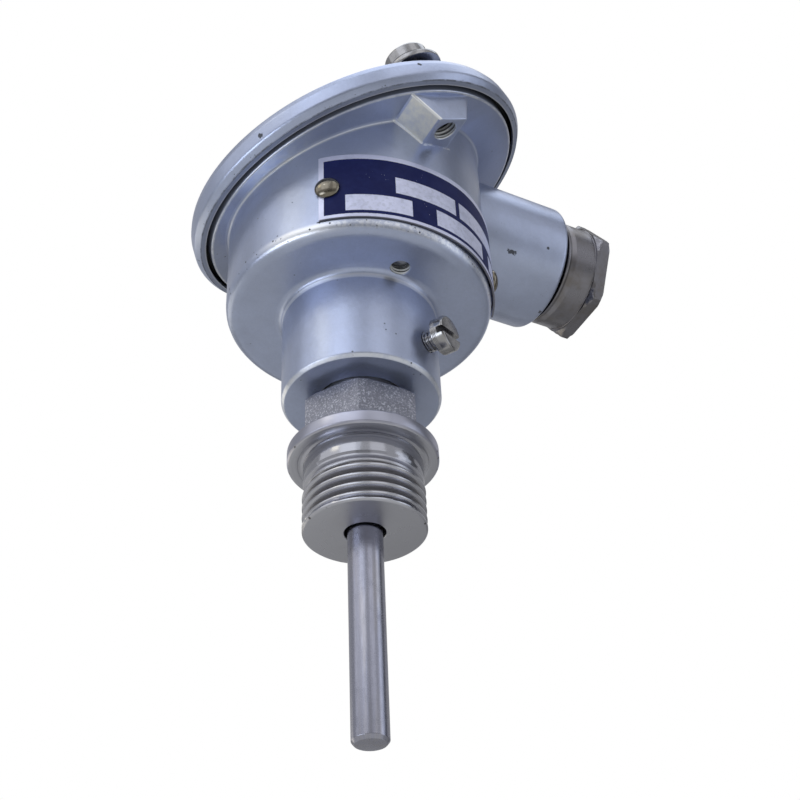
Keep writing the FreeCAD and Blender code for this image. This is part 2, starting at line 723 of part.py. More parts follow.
element_low = "-immersion + tube_tip_wall"
element_top = element_low + " + element_length"
node(cylinder("sensing_element", "element_radius", "element_length", z=element_low), "sensing_element")
over_element = "immersion - tube_tip_wall - element_length + "
rod_blank = cylinder("rod_blank", "tube_radius - tube_wall - rod_gap", over_element + tube_top, z=element_top)
rod_holes = []
for side in (-1, 1):
    rod_holes.append(cylinder("rod_hole", "lead_radius + lead_gap", "immersion + rim_height",
                              "%d * lead_offset" % side, z="-immersion"))
node(cut("insulating_rod", rod_blank, rod_holes), "insulating_rod")
lead_span = "(bar_offset - lead_offset) / 2"
for side, word in ((-1, "left"), (1, "right")):
    riser = cylinder("lead_riser", "lead_radius", over_element + bar_top + " + lead_crest",
                     "%d * lead_offset" % side, "0", element_top)
    arch = doc.addObject("Part::Torus", "lead_arch")
    bind(arch, "Radius1", lead_span)
    bind(arch, "Radius2", "lead_radius")
    arch.Angle3 = 180
    place(arch, "%d * (bar_offset + lead_offset) / 2" % side, "0", bar_top + " + lead_crest",
          Rotation(Vector(1, 0, 0), 90))
    foot = cylinder("lead_foot", "lead_radius", "lead_crest", "%d * bar_offset" % side, "0", bar_top)
    node(fuse("lead_" + word, [riser, arch, foot]), "lead_" + word)

# Two sprung screws that press the insert down on the floor
head_low = plate_top + " + spring_length"
for side, word in ((-1, "front"), (1, "rear")):
    screw = cheese_screw("insert_screw_" + word, "insert_screw_radius", "insert_screw_length",
                         "insert_screw_head_radius", "insert_screw_head_height", "insert_screw_slot")
    node(place(screw, y="%d * (%s)" % (side, insert_screw_offset), z=head_low), "insert_screw_" + word)
    coil = doc.addObject("Part::Feature", "insert_spring_" + word)
    coil.Shape = coil_shape(
        amount("insert_screw_radius + spring_gap + spring_wire_radius"),
        amount("spring_wire_radius"),
        amount("spring_length"),
        amount("spring_turns"),
    )
    node(place(coil, y="%d * (%s)" % (side, insert_screw_offset), z=plate_top), "insert_spring_" + word)

doc.recompute()
for item in doc.Objects:
    for word in item.State:
        if word in ("Invalid", "Error"):
            raise RuntimeError("%s is %s" % (item.Label, word))
os.makedirs("parts", exist_ok=True)
for item in made:
    shape = item.Shape
    if shape.isNull() or not shape.isValid():
        raise RuntimeError("%s has no sound shape" % item.Label)
    shape.exportStep("parts/%s.step" % item.Label)
    print("%-28s %d solid, %3d faces, %9.1f mm3" % (
        item.Label, len(shape.Solids), len(shape.Faces), shape.Volume))
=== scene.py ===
import math

import bmesh
import bpy
from mathutils import Matrix, Vector


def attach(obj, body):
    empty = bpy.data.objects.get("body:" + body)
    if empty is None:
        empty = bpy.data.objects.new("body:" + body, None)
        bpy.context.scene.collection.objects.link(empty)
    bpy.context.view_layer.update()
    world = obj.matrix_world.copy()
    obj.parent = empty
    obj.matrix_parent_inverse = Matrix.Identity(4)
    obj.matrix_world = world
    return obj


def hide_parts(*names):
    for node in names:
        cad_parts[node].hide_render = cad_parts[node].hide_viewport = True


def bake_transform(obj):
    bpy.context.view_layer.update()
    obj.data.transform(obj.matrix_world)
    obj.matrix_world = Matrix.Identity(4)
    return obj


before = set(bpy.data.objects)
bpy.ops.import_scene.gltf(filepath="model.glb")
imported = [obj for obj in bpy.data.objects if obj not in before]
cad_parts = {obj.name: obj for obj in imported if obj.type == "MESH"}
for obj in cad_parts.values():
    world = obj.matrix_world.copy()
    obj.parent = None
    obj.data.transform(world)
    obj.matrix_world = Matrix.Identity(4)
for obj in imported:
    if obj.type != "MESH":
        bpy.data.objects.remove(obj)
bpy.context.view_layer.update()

MM = 0.001
TAU = 2 * math.pi
STEPS = 192

# Places of the object, in millimetres, as its solids have them
TILT = math.radians(25.2)
RIM_SHIFT = 2.0
RIM_HEIGHT = 62.6
RIM_RADIUS = 32.4
BOSS_HEIGHT = 61.85
BOSS_END = 42.0
NECK = 14.25
NECK_LOW = 13.0
NECK_HOLE = 8.4
FLOOR_LOW = 32.3
FLOOR_HIGH = 36.3
DRUM = 24.7
CHAMBER = 21.9
LUG_TOP = 13.4
LUG_LOW = 6.4
LUG_DROP = 5.95
SCREW_SPREAD = 28.2
WASHER_SEAT = 8.2
COVER_SCREW_SEAT = 9.2
INSERT_SPREAD = 16.5
INSERT_SCREW_SEAT = 47.5
TERMINAL_SPREAD = (6.2, 4.5)
TERMINAL_SEAT = 50.9
CLAMP_HEIGHT = 20.7
CLAMP_ANGLE = math.radians(-60)
CLAMP_SEAT = 16.4
PLATE_START = -132.5
PLATE_SWEEP = 112.0
PLATE_GAP = 0.35
PLATE_LOW = 34.9
PLATE_HIGH = 50.3
PLATE_MIDDLE = (PLATE_LOW + PLATE_HIGH) / 2
RIVET_INSET = 3.7

# Screws: radius and length of the thread, radius and height of the head, slot and pitch
CLAMP_SCREW = (2.0, 8.9, 3.35, 2.6, 1.2, 0.7)
COVER_SCREW = (2.5, 13.0, 4.25, 3.3, 1.2, 0.8)
INSERT_SCREW = (2.0, 13.9, 3.5, 2.6, 1.0, 0.7)
TERMINAL_SCREW = (1.5, 4.0, 2.6, 1.9, 0.7, 0.5)

# Blank fields of the plate: degrees from its left end, and height over its lower edge
PLATE_FIELDS = (
    (10.9, 38.3, 1.5, 5.3), (49.5, 78.3, 1.5, 5.3), (85.5, 108.5, 1.5, 5.3), (31.5, 60.0, 6.4, 10.3),
    (62.2, 108.5, 6.4, 10.3),
)

# Chips in the lacquer: place, radius, raggedness and squeeze along X, Y and Z
HOUSING_CHIPS = (
    ((29.4, -9.8, 53.4), 0.5, 0.5, (0.42, 1.0, 1.0)), ((37.1, -11.6, 56.0), 0.3),
    ((41.2, -0.9, 48.9), 0.35), ((-3.6, -25.7, 59.2), 0.3),
)
COVER_CHIPS = (((-4.3, -34.9, 65.3), 0.5), ((-30.7, -11.1, 54.1), 0.45), ((-27.6, -16.7, 53.1), 0.6))

ALONG_X = Matrix.Rotation(math.pi / 2, 4, "Y")
BOSS = Matrix.Translation((0, 0, BOSS_HEIGHT)) @ ALONG_X
CLAMP = Matrix.Translation((0, 0, CLAMP_HEIGHT)) @ Matrix.Rotation(CLAMP_ANGLE, 4, "Z") @ ALONG_X
RIM = (
    Matrix.Translation((RIM_SHIFT * math.cos(TILT), 0, RIM_HEIGHT + RIM_SHIFT * math.sin(TILT)))
    @ Matrix.Rotation(-TILT, 4, "Y")
)


def beside_cover(side, lift):
    """The place of one cover screw's axis, at a height over the rim's underside."""
    return RIM @ Matrix.Translation((0, side * SCREW_SPREAD, lift))


# Meshes

def mesh_object(name, verts, faces, place=None):
    """An object from points in millimetres, with its doubled points merged."""
    mesh = bpy.data.meshes.new(name)
    matrix = Matrix.Scale(MM, 4) @ (place or Matrix.Identity(4))
    mesh.from_pydata([matrix @ Vector(v) for v in verts], [], faces)
    obj = bpy.data.objects.new(name, mesh)
    bpy.context.scene.collection.objects.link(obj)
    work = bmesh.new()
    work.from_mesh(mesh)
    bmesh.ops.remove_doubles(work, verts=work.verts, dist=2e-7)
    bmesh.ops.dissolve_degenerate(work, edges=work.edges, dist=1e-8)
    bmesh.ops.recalc_face_normals(work, faces=work.faces)
    work.to_mesh(mesh)
    work.free()
    return obj


def smooth(obj, sharp=32):
    """Smooth shading, with the edges over this many degrees left sharp."""
    for face in obj.data.polygons:
        face.use_smooth = True
    obj.data.set_sharp_from_angle(angle=math.radians(sharp))
    return obj


def rounded(corners, parts=3, closed=False):
    """A profile of (radius, height) points from corners (radius, height[, rounding])."""
    out = []
    last = len(corners) - 1
    for k, corner in enumerate(corners):
        here = Vector(corner[:2])
        reach = corner[2] if len(corner) > 2 else 0
        if reach <= 0 or (not closed and k in (0, last)):
            out.append((here.x, here.y))
            continue
        back = Vector(corners[k - 1][:2]) - here
        ahead = Vector(corners[(k + 1) % (last + 1)][:2]) - here
        half = back.angle(ahead) / 2
        run = min(reach / math.tan(half), back.length * 0.49, ahead.length * 0.49)
        start = here + back.normalized() * run
        end = here + ahead.normalized() * run
        for j in range(parts + 1):
            t = j / parts
            point = start * (1 - t) ** 2 + here * 2 * t * (1 - t) + end * t ** 2
            out.append((point.x, point.y))
    return out


def divided(profile, length, above=-math.inf):
    """A profile with points added to its runs that start above a height."""
    out = []
    for (r0, z0), (r1, z1) in zip(profile, profile[1:]):
        parts = max(1, int(math.hypot(r1 - r0, z1 - z0) / length)) if z0 > above else 1
        out += [(r0 + (r1 - r0) * j / parts, z0 + (z1 - z0) * j / parts) for j in range(parts)]
    return out + [profile[-1]]


def quads(columns, count, round_columns=True, round_rows=False):
    """Faces between neighbouring columns of points, count points to a column."""
    faces = []
    for i in range(columns if round_columns else columns - 1):
        a, b = i * count, (i + 1) % columns * count
        for k in range(count if round_rows else count - 1):
            n = (k + 1) % count
            faces.append((a + k, b + k, b + n, a + n))
    return faces


def capped(columns, count):
    """Faces of a bar through rings of count points, with its two ends shut."""
    ends = [tuple(range(count))[::-1], tuple(range((columns - 1) * count, columns * count))]
    return ends + quads(columns, count, False, True)


def skin(profile, steps=STEPS, closed=False, shape=None):
    """Points and faces of a surface turned about Z. With closed, its profile is a loop.

    shape(turn, radius, height) may give another radius."""
    verts = []
    for i in range(steps):
        turn = TAU * i / steps
        for r, z in profile:
            if shape:
                r = shape(turn, r, z)
            verts.append((r * math.cos(turn), r * math.sin(turn), z))
    return verts, quads(steps, len(profile), True, closed)


def turned(name, profile, steps=STEPS, place=None, closed=False):
    """A solid of revolution about Z. With closed, the profile is a loop round a hole."""
    return mesh_object(name, *skin(profile, steps, closed), place)


def threaded(crest, depth, pitch, low, high, flat=0.16, fade=1.0, top_fade=0.0, land=0.0):
    """Points and faces of a screw thread's skin, its rows wound with the thread.

    It sinks to its core over fade at the low end and top_fade at the high end.
    With land, the low end has that much full ring in place of a fade."""
    rows = 14
    rise = pitch / rows
    total = int(math.ceil((high - low) / rise)) + rows
    core = crest - depth
    verts, faces = [], []
    for i in range(STEPS):
        turn = TAU * i / STEPS
        for k in range(total + 1):
            z = min(max(low + (k - rows) * rise + pitch * i / STEPS, low), high)
            wave = abs(k / rows % 1.0 * 2 - 1)
            ridge = min(max((wave - flat) / (1 - 2 * flat), 0), 1)
            ridge = 0.35 * ridge * ridge * (3 - 2 * ridge) + 0.65 * ridge
            r = core + depth * ridge
            if land:
                filled = min(max((z - low - land) / land, 0), 1)
                r = crest + (r - crest) * filled
            elif fade:
                r = min(r, core + depth * min((z - low) / fade, 1))
            if top_fade:
                r = min(r, core + depth * min((high - z) / top_fade, 1))
            if z >= high or (z <= low and not land):
                r = core
            verts.append((r * math.cos(turn), r * math.sin(turn), z))
    column = total + 1
    for i in range(STEPS):
        wound = i + 1 == STEPS
        for k in range(total):
            a = i * column + k
            b = min(k + rows, total) if wound else a + column
            c = min(k + rows + 1, total) if wound else a + column + 1
            faces.append((a, b, c, a + 1))
    return verts, faces


def joined(name, parts, place=None):
    """One object from several lists of points and faces that meet edge to edge."""
    verts, faces = [], []
    for points, polygons in parts:
        shift = len(verts)
        verts += points
        faces += [tuple(n + shift for n in face) for face in polygons]
    return mesh_object(name, verts, faces, place)


def hexagon(flats, turn, offset=0.0):
    """The distance from a hexagon's centre to its edge, its corners at offset."""
    lean = (turn - offset) % (math.pi / 3) - math.pi / 6
    return flats / 2 / math.cos(lean)


def finished(obj):
    """Puts an object's modifiers into its mesh."""
    bpy.context.view_layer.update()
    deps = bpy.context.evaluated_depsgraph_get()
    mesh = bpy.data.meshes.new_from_object(obj.evaluated_get(deps))
    obj.modifiers.clear()
    obj.data = mesh
    return obj


def carve(obj, tools, operation="DIFFERENCE"):
    """Cuts tools out of an object, or adds them to it."""
    for tool in tools:
        change = obj.modifiers.new("carve", "BOOLEAN")
        change.operation = operation
        change.solver = "EXACT"
        change.object = tool
    finished(obj)
    for tool in tools:
        bpy.data.objects.remove(tool)
    return obj


def bevelled(obj, width, parts=2):
    """Rounds an object's sharp edges."""
    change = obj.modifiers.new("edges", "BEVEL")
    change.width = width * MM
    change.segments = parts
    change.limit_method = "ANGLE"
    change.angle_limit = math.radians(35)
    return finished(obj)


def bar(name, length, width, low, high, place):
    """A straight block round the Z axis."""
    x, y = length / 2, width / 2
    verts = [(a, b, z) for z in (low, high) for a, b in ((-x, -y), (x, -y), (x, y), (-x, y))]
    return mesh_object(name, verts, capped(2, 4), place)


def plain_cylinder(name, radius, low, high, place=None, steps=64):
    return turned(name, [(0, low), (radius, low), (radius, high), (0, high)], steps, place)


# The pieces

def fitting():
    """Process fitting: helical thread, relief, collar, rough hexagon and spigot."""
    crest, depth, pitch = 10.4775, 1.16, 1.814
    thread_low, thread_high, end, top = -13.15, -5.35, -13.4, 29.7
    bore, mouth = 3.3, 3.5
    thread = threaded(crest, depth, pitch, thread_low, thread_high, flat=0.13, top_fade=0.35, land=0.3)
    low = skin(rounded([
        (bore, top), (bore, -4.4), (mouth, -4.4), (mouth, end + 0.1), (mouth + 0.1, end),
        (crest - 0.3, end, 0.1), (crest, thread_low),
    ]))
    relief_and_collar = skin(rounded([
        (crest - depth, thread_high), (9.6, -5.1, 0.15), (9.6, -4.75, 0.1), (10.2, -4.55, 0.06),
        (10.2, -4.2, 0.06), (10.35, -3.7, 0.05), (10.35, -0.55, 0.05), (10.15, -0.45, 0.05),
        (10.15, -0.1, 0.08), (10.75, 0.06, 0.05), (11.25, 0.06, 0.05), (11.35, 0, 0.05), (12.75, 0, 0.2),
        (13.1, 0.35, 0.2), (13.1, 2.3, 0.2), (12.8, 2.6, 0.2), (10.8, 2.6, 0.05), (10.8, 3.2),
    ], 2))

    def hexed(turn, r, z):
        return min(hexagon(19.0, turn), r) if r > 7.6 else r

    flats = divided(rounded([
        (10.8, 3.2), (10.97, 3.5, 0.1), (10.97, 10.75, 0.1), (10.2, 11.2, 0.15), (7.5, 11.2),
    ], 2), 0.35)
    spigot = skin(rounded([(7.5, 11.2), (7.5, top - 0.6, 0.2), (6.9, top, 0.2), (bore, top)], 2))
    obj = joined("fitting", [low, thread, relief_and_collar, skin(flats, shape=hexed), spigot])
    return smooth(obj, 28)


def tube():
    """Sheath tube with a rounded welded tip."""
    tip, top, outer, inner = -50, 40.9, 3.0, 2.5
    obj = turned("tube", rounded([
        (0, tip), (outer - 0.45, tip, 0.25), (outer, tip + 0.55, 0.3), (outer, top, 0.1),
        (inner, top, 0.05), (inner, tip + 1), (0, tip + 1),
    ], 4), 96)
    return smooth(obj, 30)


def slotted_screw(name, size, place, slot_turn, slot_aside=0.0):
    """A cheese-head screw with a helical thread, turning marks round its head and a sawn slot."""
    radius, length, head, height, slot, pitch = size
    depth = pitch * 0.55
    thread = threaded(radius, depth, pitch, -length, -0.25, flat=0.12, fade=pitch * 0.7)
    core = radius - depth
    under = skin([(0, -length), (core, -length)])
    side = [(head, 0.12)]
    for k in range(3):
        z = height * (0.14 + 0.1 * k)
        side += [(head, z - 0.07), (head - 0.06, z), (head, z + 0.07)]
    top = skin([(core, -0.25), (core, 0), (head - 0.1, 0)] + side + rounded([
        (head, height * 0.45), (head, height * 0.86, 0.3), (head * 0.93, height, 0.35), (0, height),
    ], 3))
    obj = joined(name, [under, thread, top])
    sawn = Matrix.Rotation(slot_turn, 4, "Z") @ Matrix.Translation((0, slot_aside, 0))
    carve(obj, [bar(name + "_slot", head * 3, slot, height * 0.52, height * 2, sawn)])
    obj.data.transform(Matrix.Scale(MM, 4) @ place @ Matrix.Scale(1 / MM, 4))
    return smooth(obj, 30)


def ring(name, corners, steps, place, sharp):
    """A ring from the corners of its section."""
    return smooth(turned(name, rounded(corners, 2, closed=True), steps, place, closed=True), sharp)


def washer(name, side):
    corners = [(2.65, 0, 0.1), (5.7, 0, 0.12), (5.7, 1.0, 0.2), (2.65, 1.0, 0.1)]
    return ring(name, corners, 96, beside_cover(side, WASHER_SEAT), 30)


def gasket():
    corners = [(26.6, 3.4, 0.3), (33.6, 3.4, 0.3), (33.6, 4.9, 0.3), (26.6, 4.9, 0.3)]
    return ring("gasket_ring", corners, STEPS, RIM, 40)


def cover():
    """Cover: lip, side wall, stepped shelf and slightly domed top."""
    lip, outer, lip_inner, inner, top, roof = 0.55, 35.2, 33.35, 33.9, 9.4, 4.9
    profile = rounded([
        (lip_inner, lip, 0.12), (lip_inner + 1, lip + 0.2, 0.06), (outer, lip + 1.5, 1.1),
        (outer - 0.3, 4.5, 0.9), (outer - 0.85, 5.7, 0.6), (outer - 1.8, 6.2, 0.5),
        (outer - 8.7, 8.1, 2.0), (outer - 15.7, 9.01, 3.0), (0, top), (0, top - 2.2), (18.62, 6.81, 1.0),
        (23.94, roof, 0.5), (inner, roof, 0.1), (inner, lip + 1.4, 0.1), (lip_inner, lip + 0.9, 0.1),
    ], 4)
    obj = turned("cover_shell", profile, STEPS, RIM, closed=True)
    seat = rounded([(0, 7.4), (6.0, 7.4, 0.3), (6.1, 7.9), (6.3, 20), (0, 20)], 3)
    tools = []
    for side in (-1, 1):
        place = beside_cover(side, 0)
        tools += [plain_cylinder("passage", 2.9, -10, 30, place), turned("seat", seat, 96, place)]
    carve(obj, tools)
    return smooth(obj, 28)


def rim_plane(r, turn):
    """The height of the rim's underside over a point of the drum."""
    return RIM_HEIGHT + r * math.cos(turn) * math.tan(TILT)


def drum_and_neck():
    """Neck and drum as one shell whose top flares into the slanted rim."""
    flare, curve, level, into_rim = 0.5, 5, 40, 1.2
    rows = rounded([
        (0, NECK_LOW), (NECK_HOLE, NECK_LOW), (NECK - 0.55, NECK_LOW, 0.25), (NECK, NECK_LOW + 0.65, 0.5),
        (NECK, FLOOR_LOW, 1.5), (DRUM, FLOOR_LOW, 2.4), (DRUM, level),
    ], 6)
    verts = []
    for i in range(STEPS):
        turn = TAU * i / STEPS
        start = rim_plane(DRUM, turn) - flare
        column = rows + [(DRUM, level + (start - level) * k / 4) for k in range(1, 4)]
        for k in range(curve + 1):
            a = math.pi / 2 * k / curve
            r = DRUM + flare * (1 - math.cos(a))
            column.append((r, rim_plane(r, turn) - flare * (1 - math.sin(a))))
        column += [(r, rim_plane(r, turn) + into_rim), (0, RIM_HEIGHT + into_rim)]
        verts += [(r * math.cos(turn), r * math.sin(turn), z) for r, z in column]
    return mesh_object("housing", verts, quads(STEPS, len(column)))


def lug(side):
    """A wedge under the rim that carries a cover screw's thread."""
    sections = ((1.7, LUG_TOP / 2), (0, LUG_TOP / 2), (-LUG_DROP, LUG_LOW / 2))
    verts = [(x, side * y, w) for y in (DRUM - 1.4, 31.4) for w, half in sections for x in (-half, half)]
    faces = [
        (0, 1, 3, 2), (2, 3, 5, 4), (8, 9, 7, 6), (10, 11, 9, 8), (0, 6, 7, 1), (4, 5, 11, 10),
        (0, 2, 8, 6), (2, 4, 10, 8), (1, 7, 9, 3), (3, 9, 11, 5),
    ]
    return bevelled(mesh_object("lug", verts, faces, RIM), 0.32, 3)


def tap(radius, pitch, low, high, lead_in, place):
    """A cutter whose thread is left in the hole, with a lead-in at the low end."""
    core = radius + 0.03 - pitch * 0.5
    mouth = core + lead_in
    thread = threaded(radius + 0.03, pitch * 0.5, pitch, low + lead_in, high, fade=0)
    lead = skin([(0, low - 3), (mouth, low - 3), (mouth, low), (core, low + lead_in)])
    cap = skin([(core, high), (0, high)])
    return joined("tap", [lead, thread, cap], place)


def housing():
    """The cast head: drum, neck, rim, lugs and cable boss, with its bores."""
    obj = drum_and_neck()
    rim = rounded([(0, 0), (RIM_RADIUS, 0, 0.35), (RIM_RADIUS, 3.4, 0.3), (0, 3.4)], 4)
    boss = rounded([(0, 2), (13.0, 2), (13.0, BOSS_END, 1.0), (0, BOSS_END)], 6)
    solids = [turned("rim", rim, STEPS, RIM), lug(-1), lug(1), turned("boss", boss, 128, BOSS)]
    carve(obj, solids, "UNION")
    chamber = rounded([(0, FLOOR_HIGH), (CHAMBER, FLOOR_HIGH, 1.0), (CHAMBER, 90), (0, 90)], 4)
    bore, bore_top = 7.6, 30.3
    neck_bore = [(0, NECK_LOW - 1), (NECK_HOLE + 1, NECK_LOW - 1), (bore, NECK_LOW + 0.8),
                 (bore, bore_top), (0, bore_top)]
    tools = [
        turned("chamber", chamber, 128),
        plain_cylinder("floor_hole", 5.5, FLOOR_LOW - 4, FLOOR_HIGH + 4),
        turned("neck_bore", neck_bore, 128),
        plain_cylinder("cable_hole", 6.2, 15, 30, BOSS),
        plain_cylinder("gland_socket", 10.05, 24.8, 60, BOSS, 128),
        plain_cylinder("clamp_hole", 2.05, 5, 25, CLAMP),
    ]
    for side in (-1, 1):
        place = Matrix.Translation((0, side * INSERT_SPREAD, 0))
        tools.append(tap(2.0, 0.7, FLOOR_LOW - 0.3, FLOOR_HIGH + 2, 0.12, place))
        tools.append(tap(2.5, 0.8, -LUG_DROP - 0.1, 5, 0.28, beside_cover(side, 0)))
    carve(obj, tools)
    return smooth(obj, 26)


def gland():
    """Pressure screw of the cable gland: thread, ring, turned body, hexagonal end.

    Its heights are measured from the boss's end."""
    start, hex_start, bore, core = -8.4, 8.0, 5.0, 9.15

    def faced(turn, r, z):
        if z > hex_start and r > 10.95:
            r = min(hexagon(22.0, turn, math.radians(26.4)), r)
        return r

    rows = divided(rounded([
        (9.0, 0), (9.0, 1.2), (11.2, 1.2, 0.15), (11.2, 1.75, 0.2), (10.4, 2.1, 0.2), (10.9, 3.3, 0.8),
        (10.9, hex_start - 0.1, 0.1), (10.98, hex_start, 0.05), (11.4, hex_start + 0.01),
        (12.7, 8.85, 0.2), (12.7, 10.4, 0.2), (11.98, 10.8, 0.2), (7.4, 10.8, 0.2), (bore, 9.6, 0.2),
        (bore, start),
    ], 3), 0.6, hex_start - 1)
    thread = threaded(10.0, 0.85, 1.5, start, 0.0, fade=0.8, top_fade=0.5)
    inner = skin([(bore, start), (core, start)])
    neck = skin([(core, 0), (9.0, 0)])
    place = BOSS @ Matrix.Translation((0, 0, BOSS_END))
    return smooth(joined("gland_body", [inner, thread, neck, skin(rows, shape=faced)], place), 28)


def eased(value, low, high):
    """A smooth climb from 0 at low to 1 at high."""
    share = min(max((value - low) / (high - low), 0), 1)
    return share * share * (3 - 2 * share)


def name_plate():
    """Thin printed plate bent round the drum, which it leaves by a little at its right end."""
    inner, outer = DRUM + 0.02, DRUM + 0.4
    columns = 120
    section = rounded([
        (inner, PLATE_LOW, 0.05), (outer, PLATE_LOW, 0.12), (outer, PLATE_HIGH, 0.12),
        (inner, PLATE_HIGH, 0.05),
    ], 3, closed=True)
    verts = []
    for i in range(columns + 1):
        run = PLATE_SWEEP * i / columns
        turn = math.radians(PLATE_START + run)
        loose = PLATE_GAP * eased(run, 40, 70)
        shrink = 0.05 if i in (0, columns) else 0.0
        for r, z in section:
            z += (PLATE_MIDDLE - z) * shrink / (PLATE_HIGH - PLATE_MIDDLE)
            r += loose - (shrink if r > inner + 0.1 else 0)
            verts.append((r * math.cos(turn), r * math.sin(turn), z))
    return smooth(mesh_object("plate", verts, capped(columns + 1, len(section))), 40)


def rivet(name, angle, loose, drop):
    """A rivet with a domed head on the plate, over the plate's gap and under its middle."""
    on_plate = Matrix.Translation((DRUM + 0.4 + loose, 0, PLATE_MIDDLE - drop))
    reach, rise, brim, shank, parts = 2.3, 1.23, 0.12, 1.1, 11
    dome = [(0, -2.9), (shank, -2.9), (shank, 0.02), (reach - 0.15, 0.02), (reach, brim)]
    for k in range(1, parts + 1):
        a = math.pi / 2 * k / parts
        dome.append((reach * math.cos(a), brim + rise * math.sin(a)))
    place = Matrix.Rotation(math.radians(angle), 4, "Z") @ on_plate @ ALONG_X
    return smooth(turned(name, dome, 64, place), 50)


def coil(name, side):
    """A coil spring of round wire with closed ends."""
    wire, radius, gap = 0.4, 2.75, 0.02
    low, high = 37.9, 47.5
    turns, closed_turns, sides, per_turn = 5.5, 0.75, 12, 40
    total = int(turns * per_turn)
    verts = []
    for k in range(total + 1):
        share = k / total
        turn = TAU * turns * share
        spread = min(max((share * turns - closed_turns) / (turns - 2 * closed_turns), 0), 1)
        z = low + wire + gap + (high - low - 2 * wire - 2 * gap) * (0.06 * share + 0.94 * spread)
        for j in range(sides):
            lean = TAU * j / sides
            reach = radius + wire * math.cos(lean)
            y = reach * math.sin(turn) + side * INSERT_SPREAD
            verts.append((reach * math.cos(turn), y, z + wire * math.sin(lean)))
    return smooth(mesh_object(name, verts, capped(total + 1, sides)), 60)


def softened(node, name, width, parts=2):
    """A copy of a node's solid with its edges rounded."""
    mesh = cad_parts[node].data.copy()
    obj = bpy.data.objects.new(name, mesh)
    bpy.context.scene.collection.objects.link(obj)
    work = bmesh.new()
    work.from_mesh(mesh)
    bmesh.ops.remove_doubles(work, verts=work.verts, dist=1e-6)
    bmesh.ops.dissolve_limit(work, angle_limit=math.radians(0.6), verts=work.verts, edges=work.edges)
    work.to_mesh(mesh)
    work.free()
    bevelled(obj, width, parts)
    return smooth(obj, 30)


# Materials

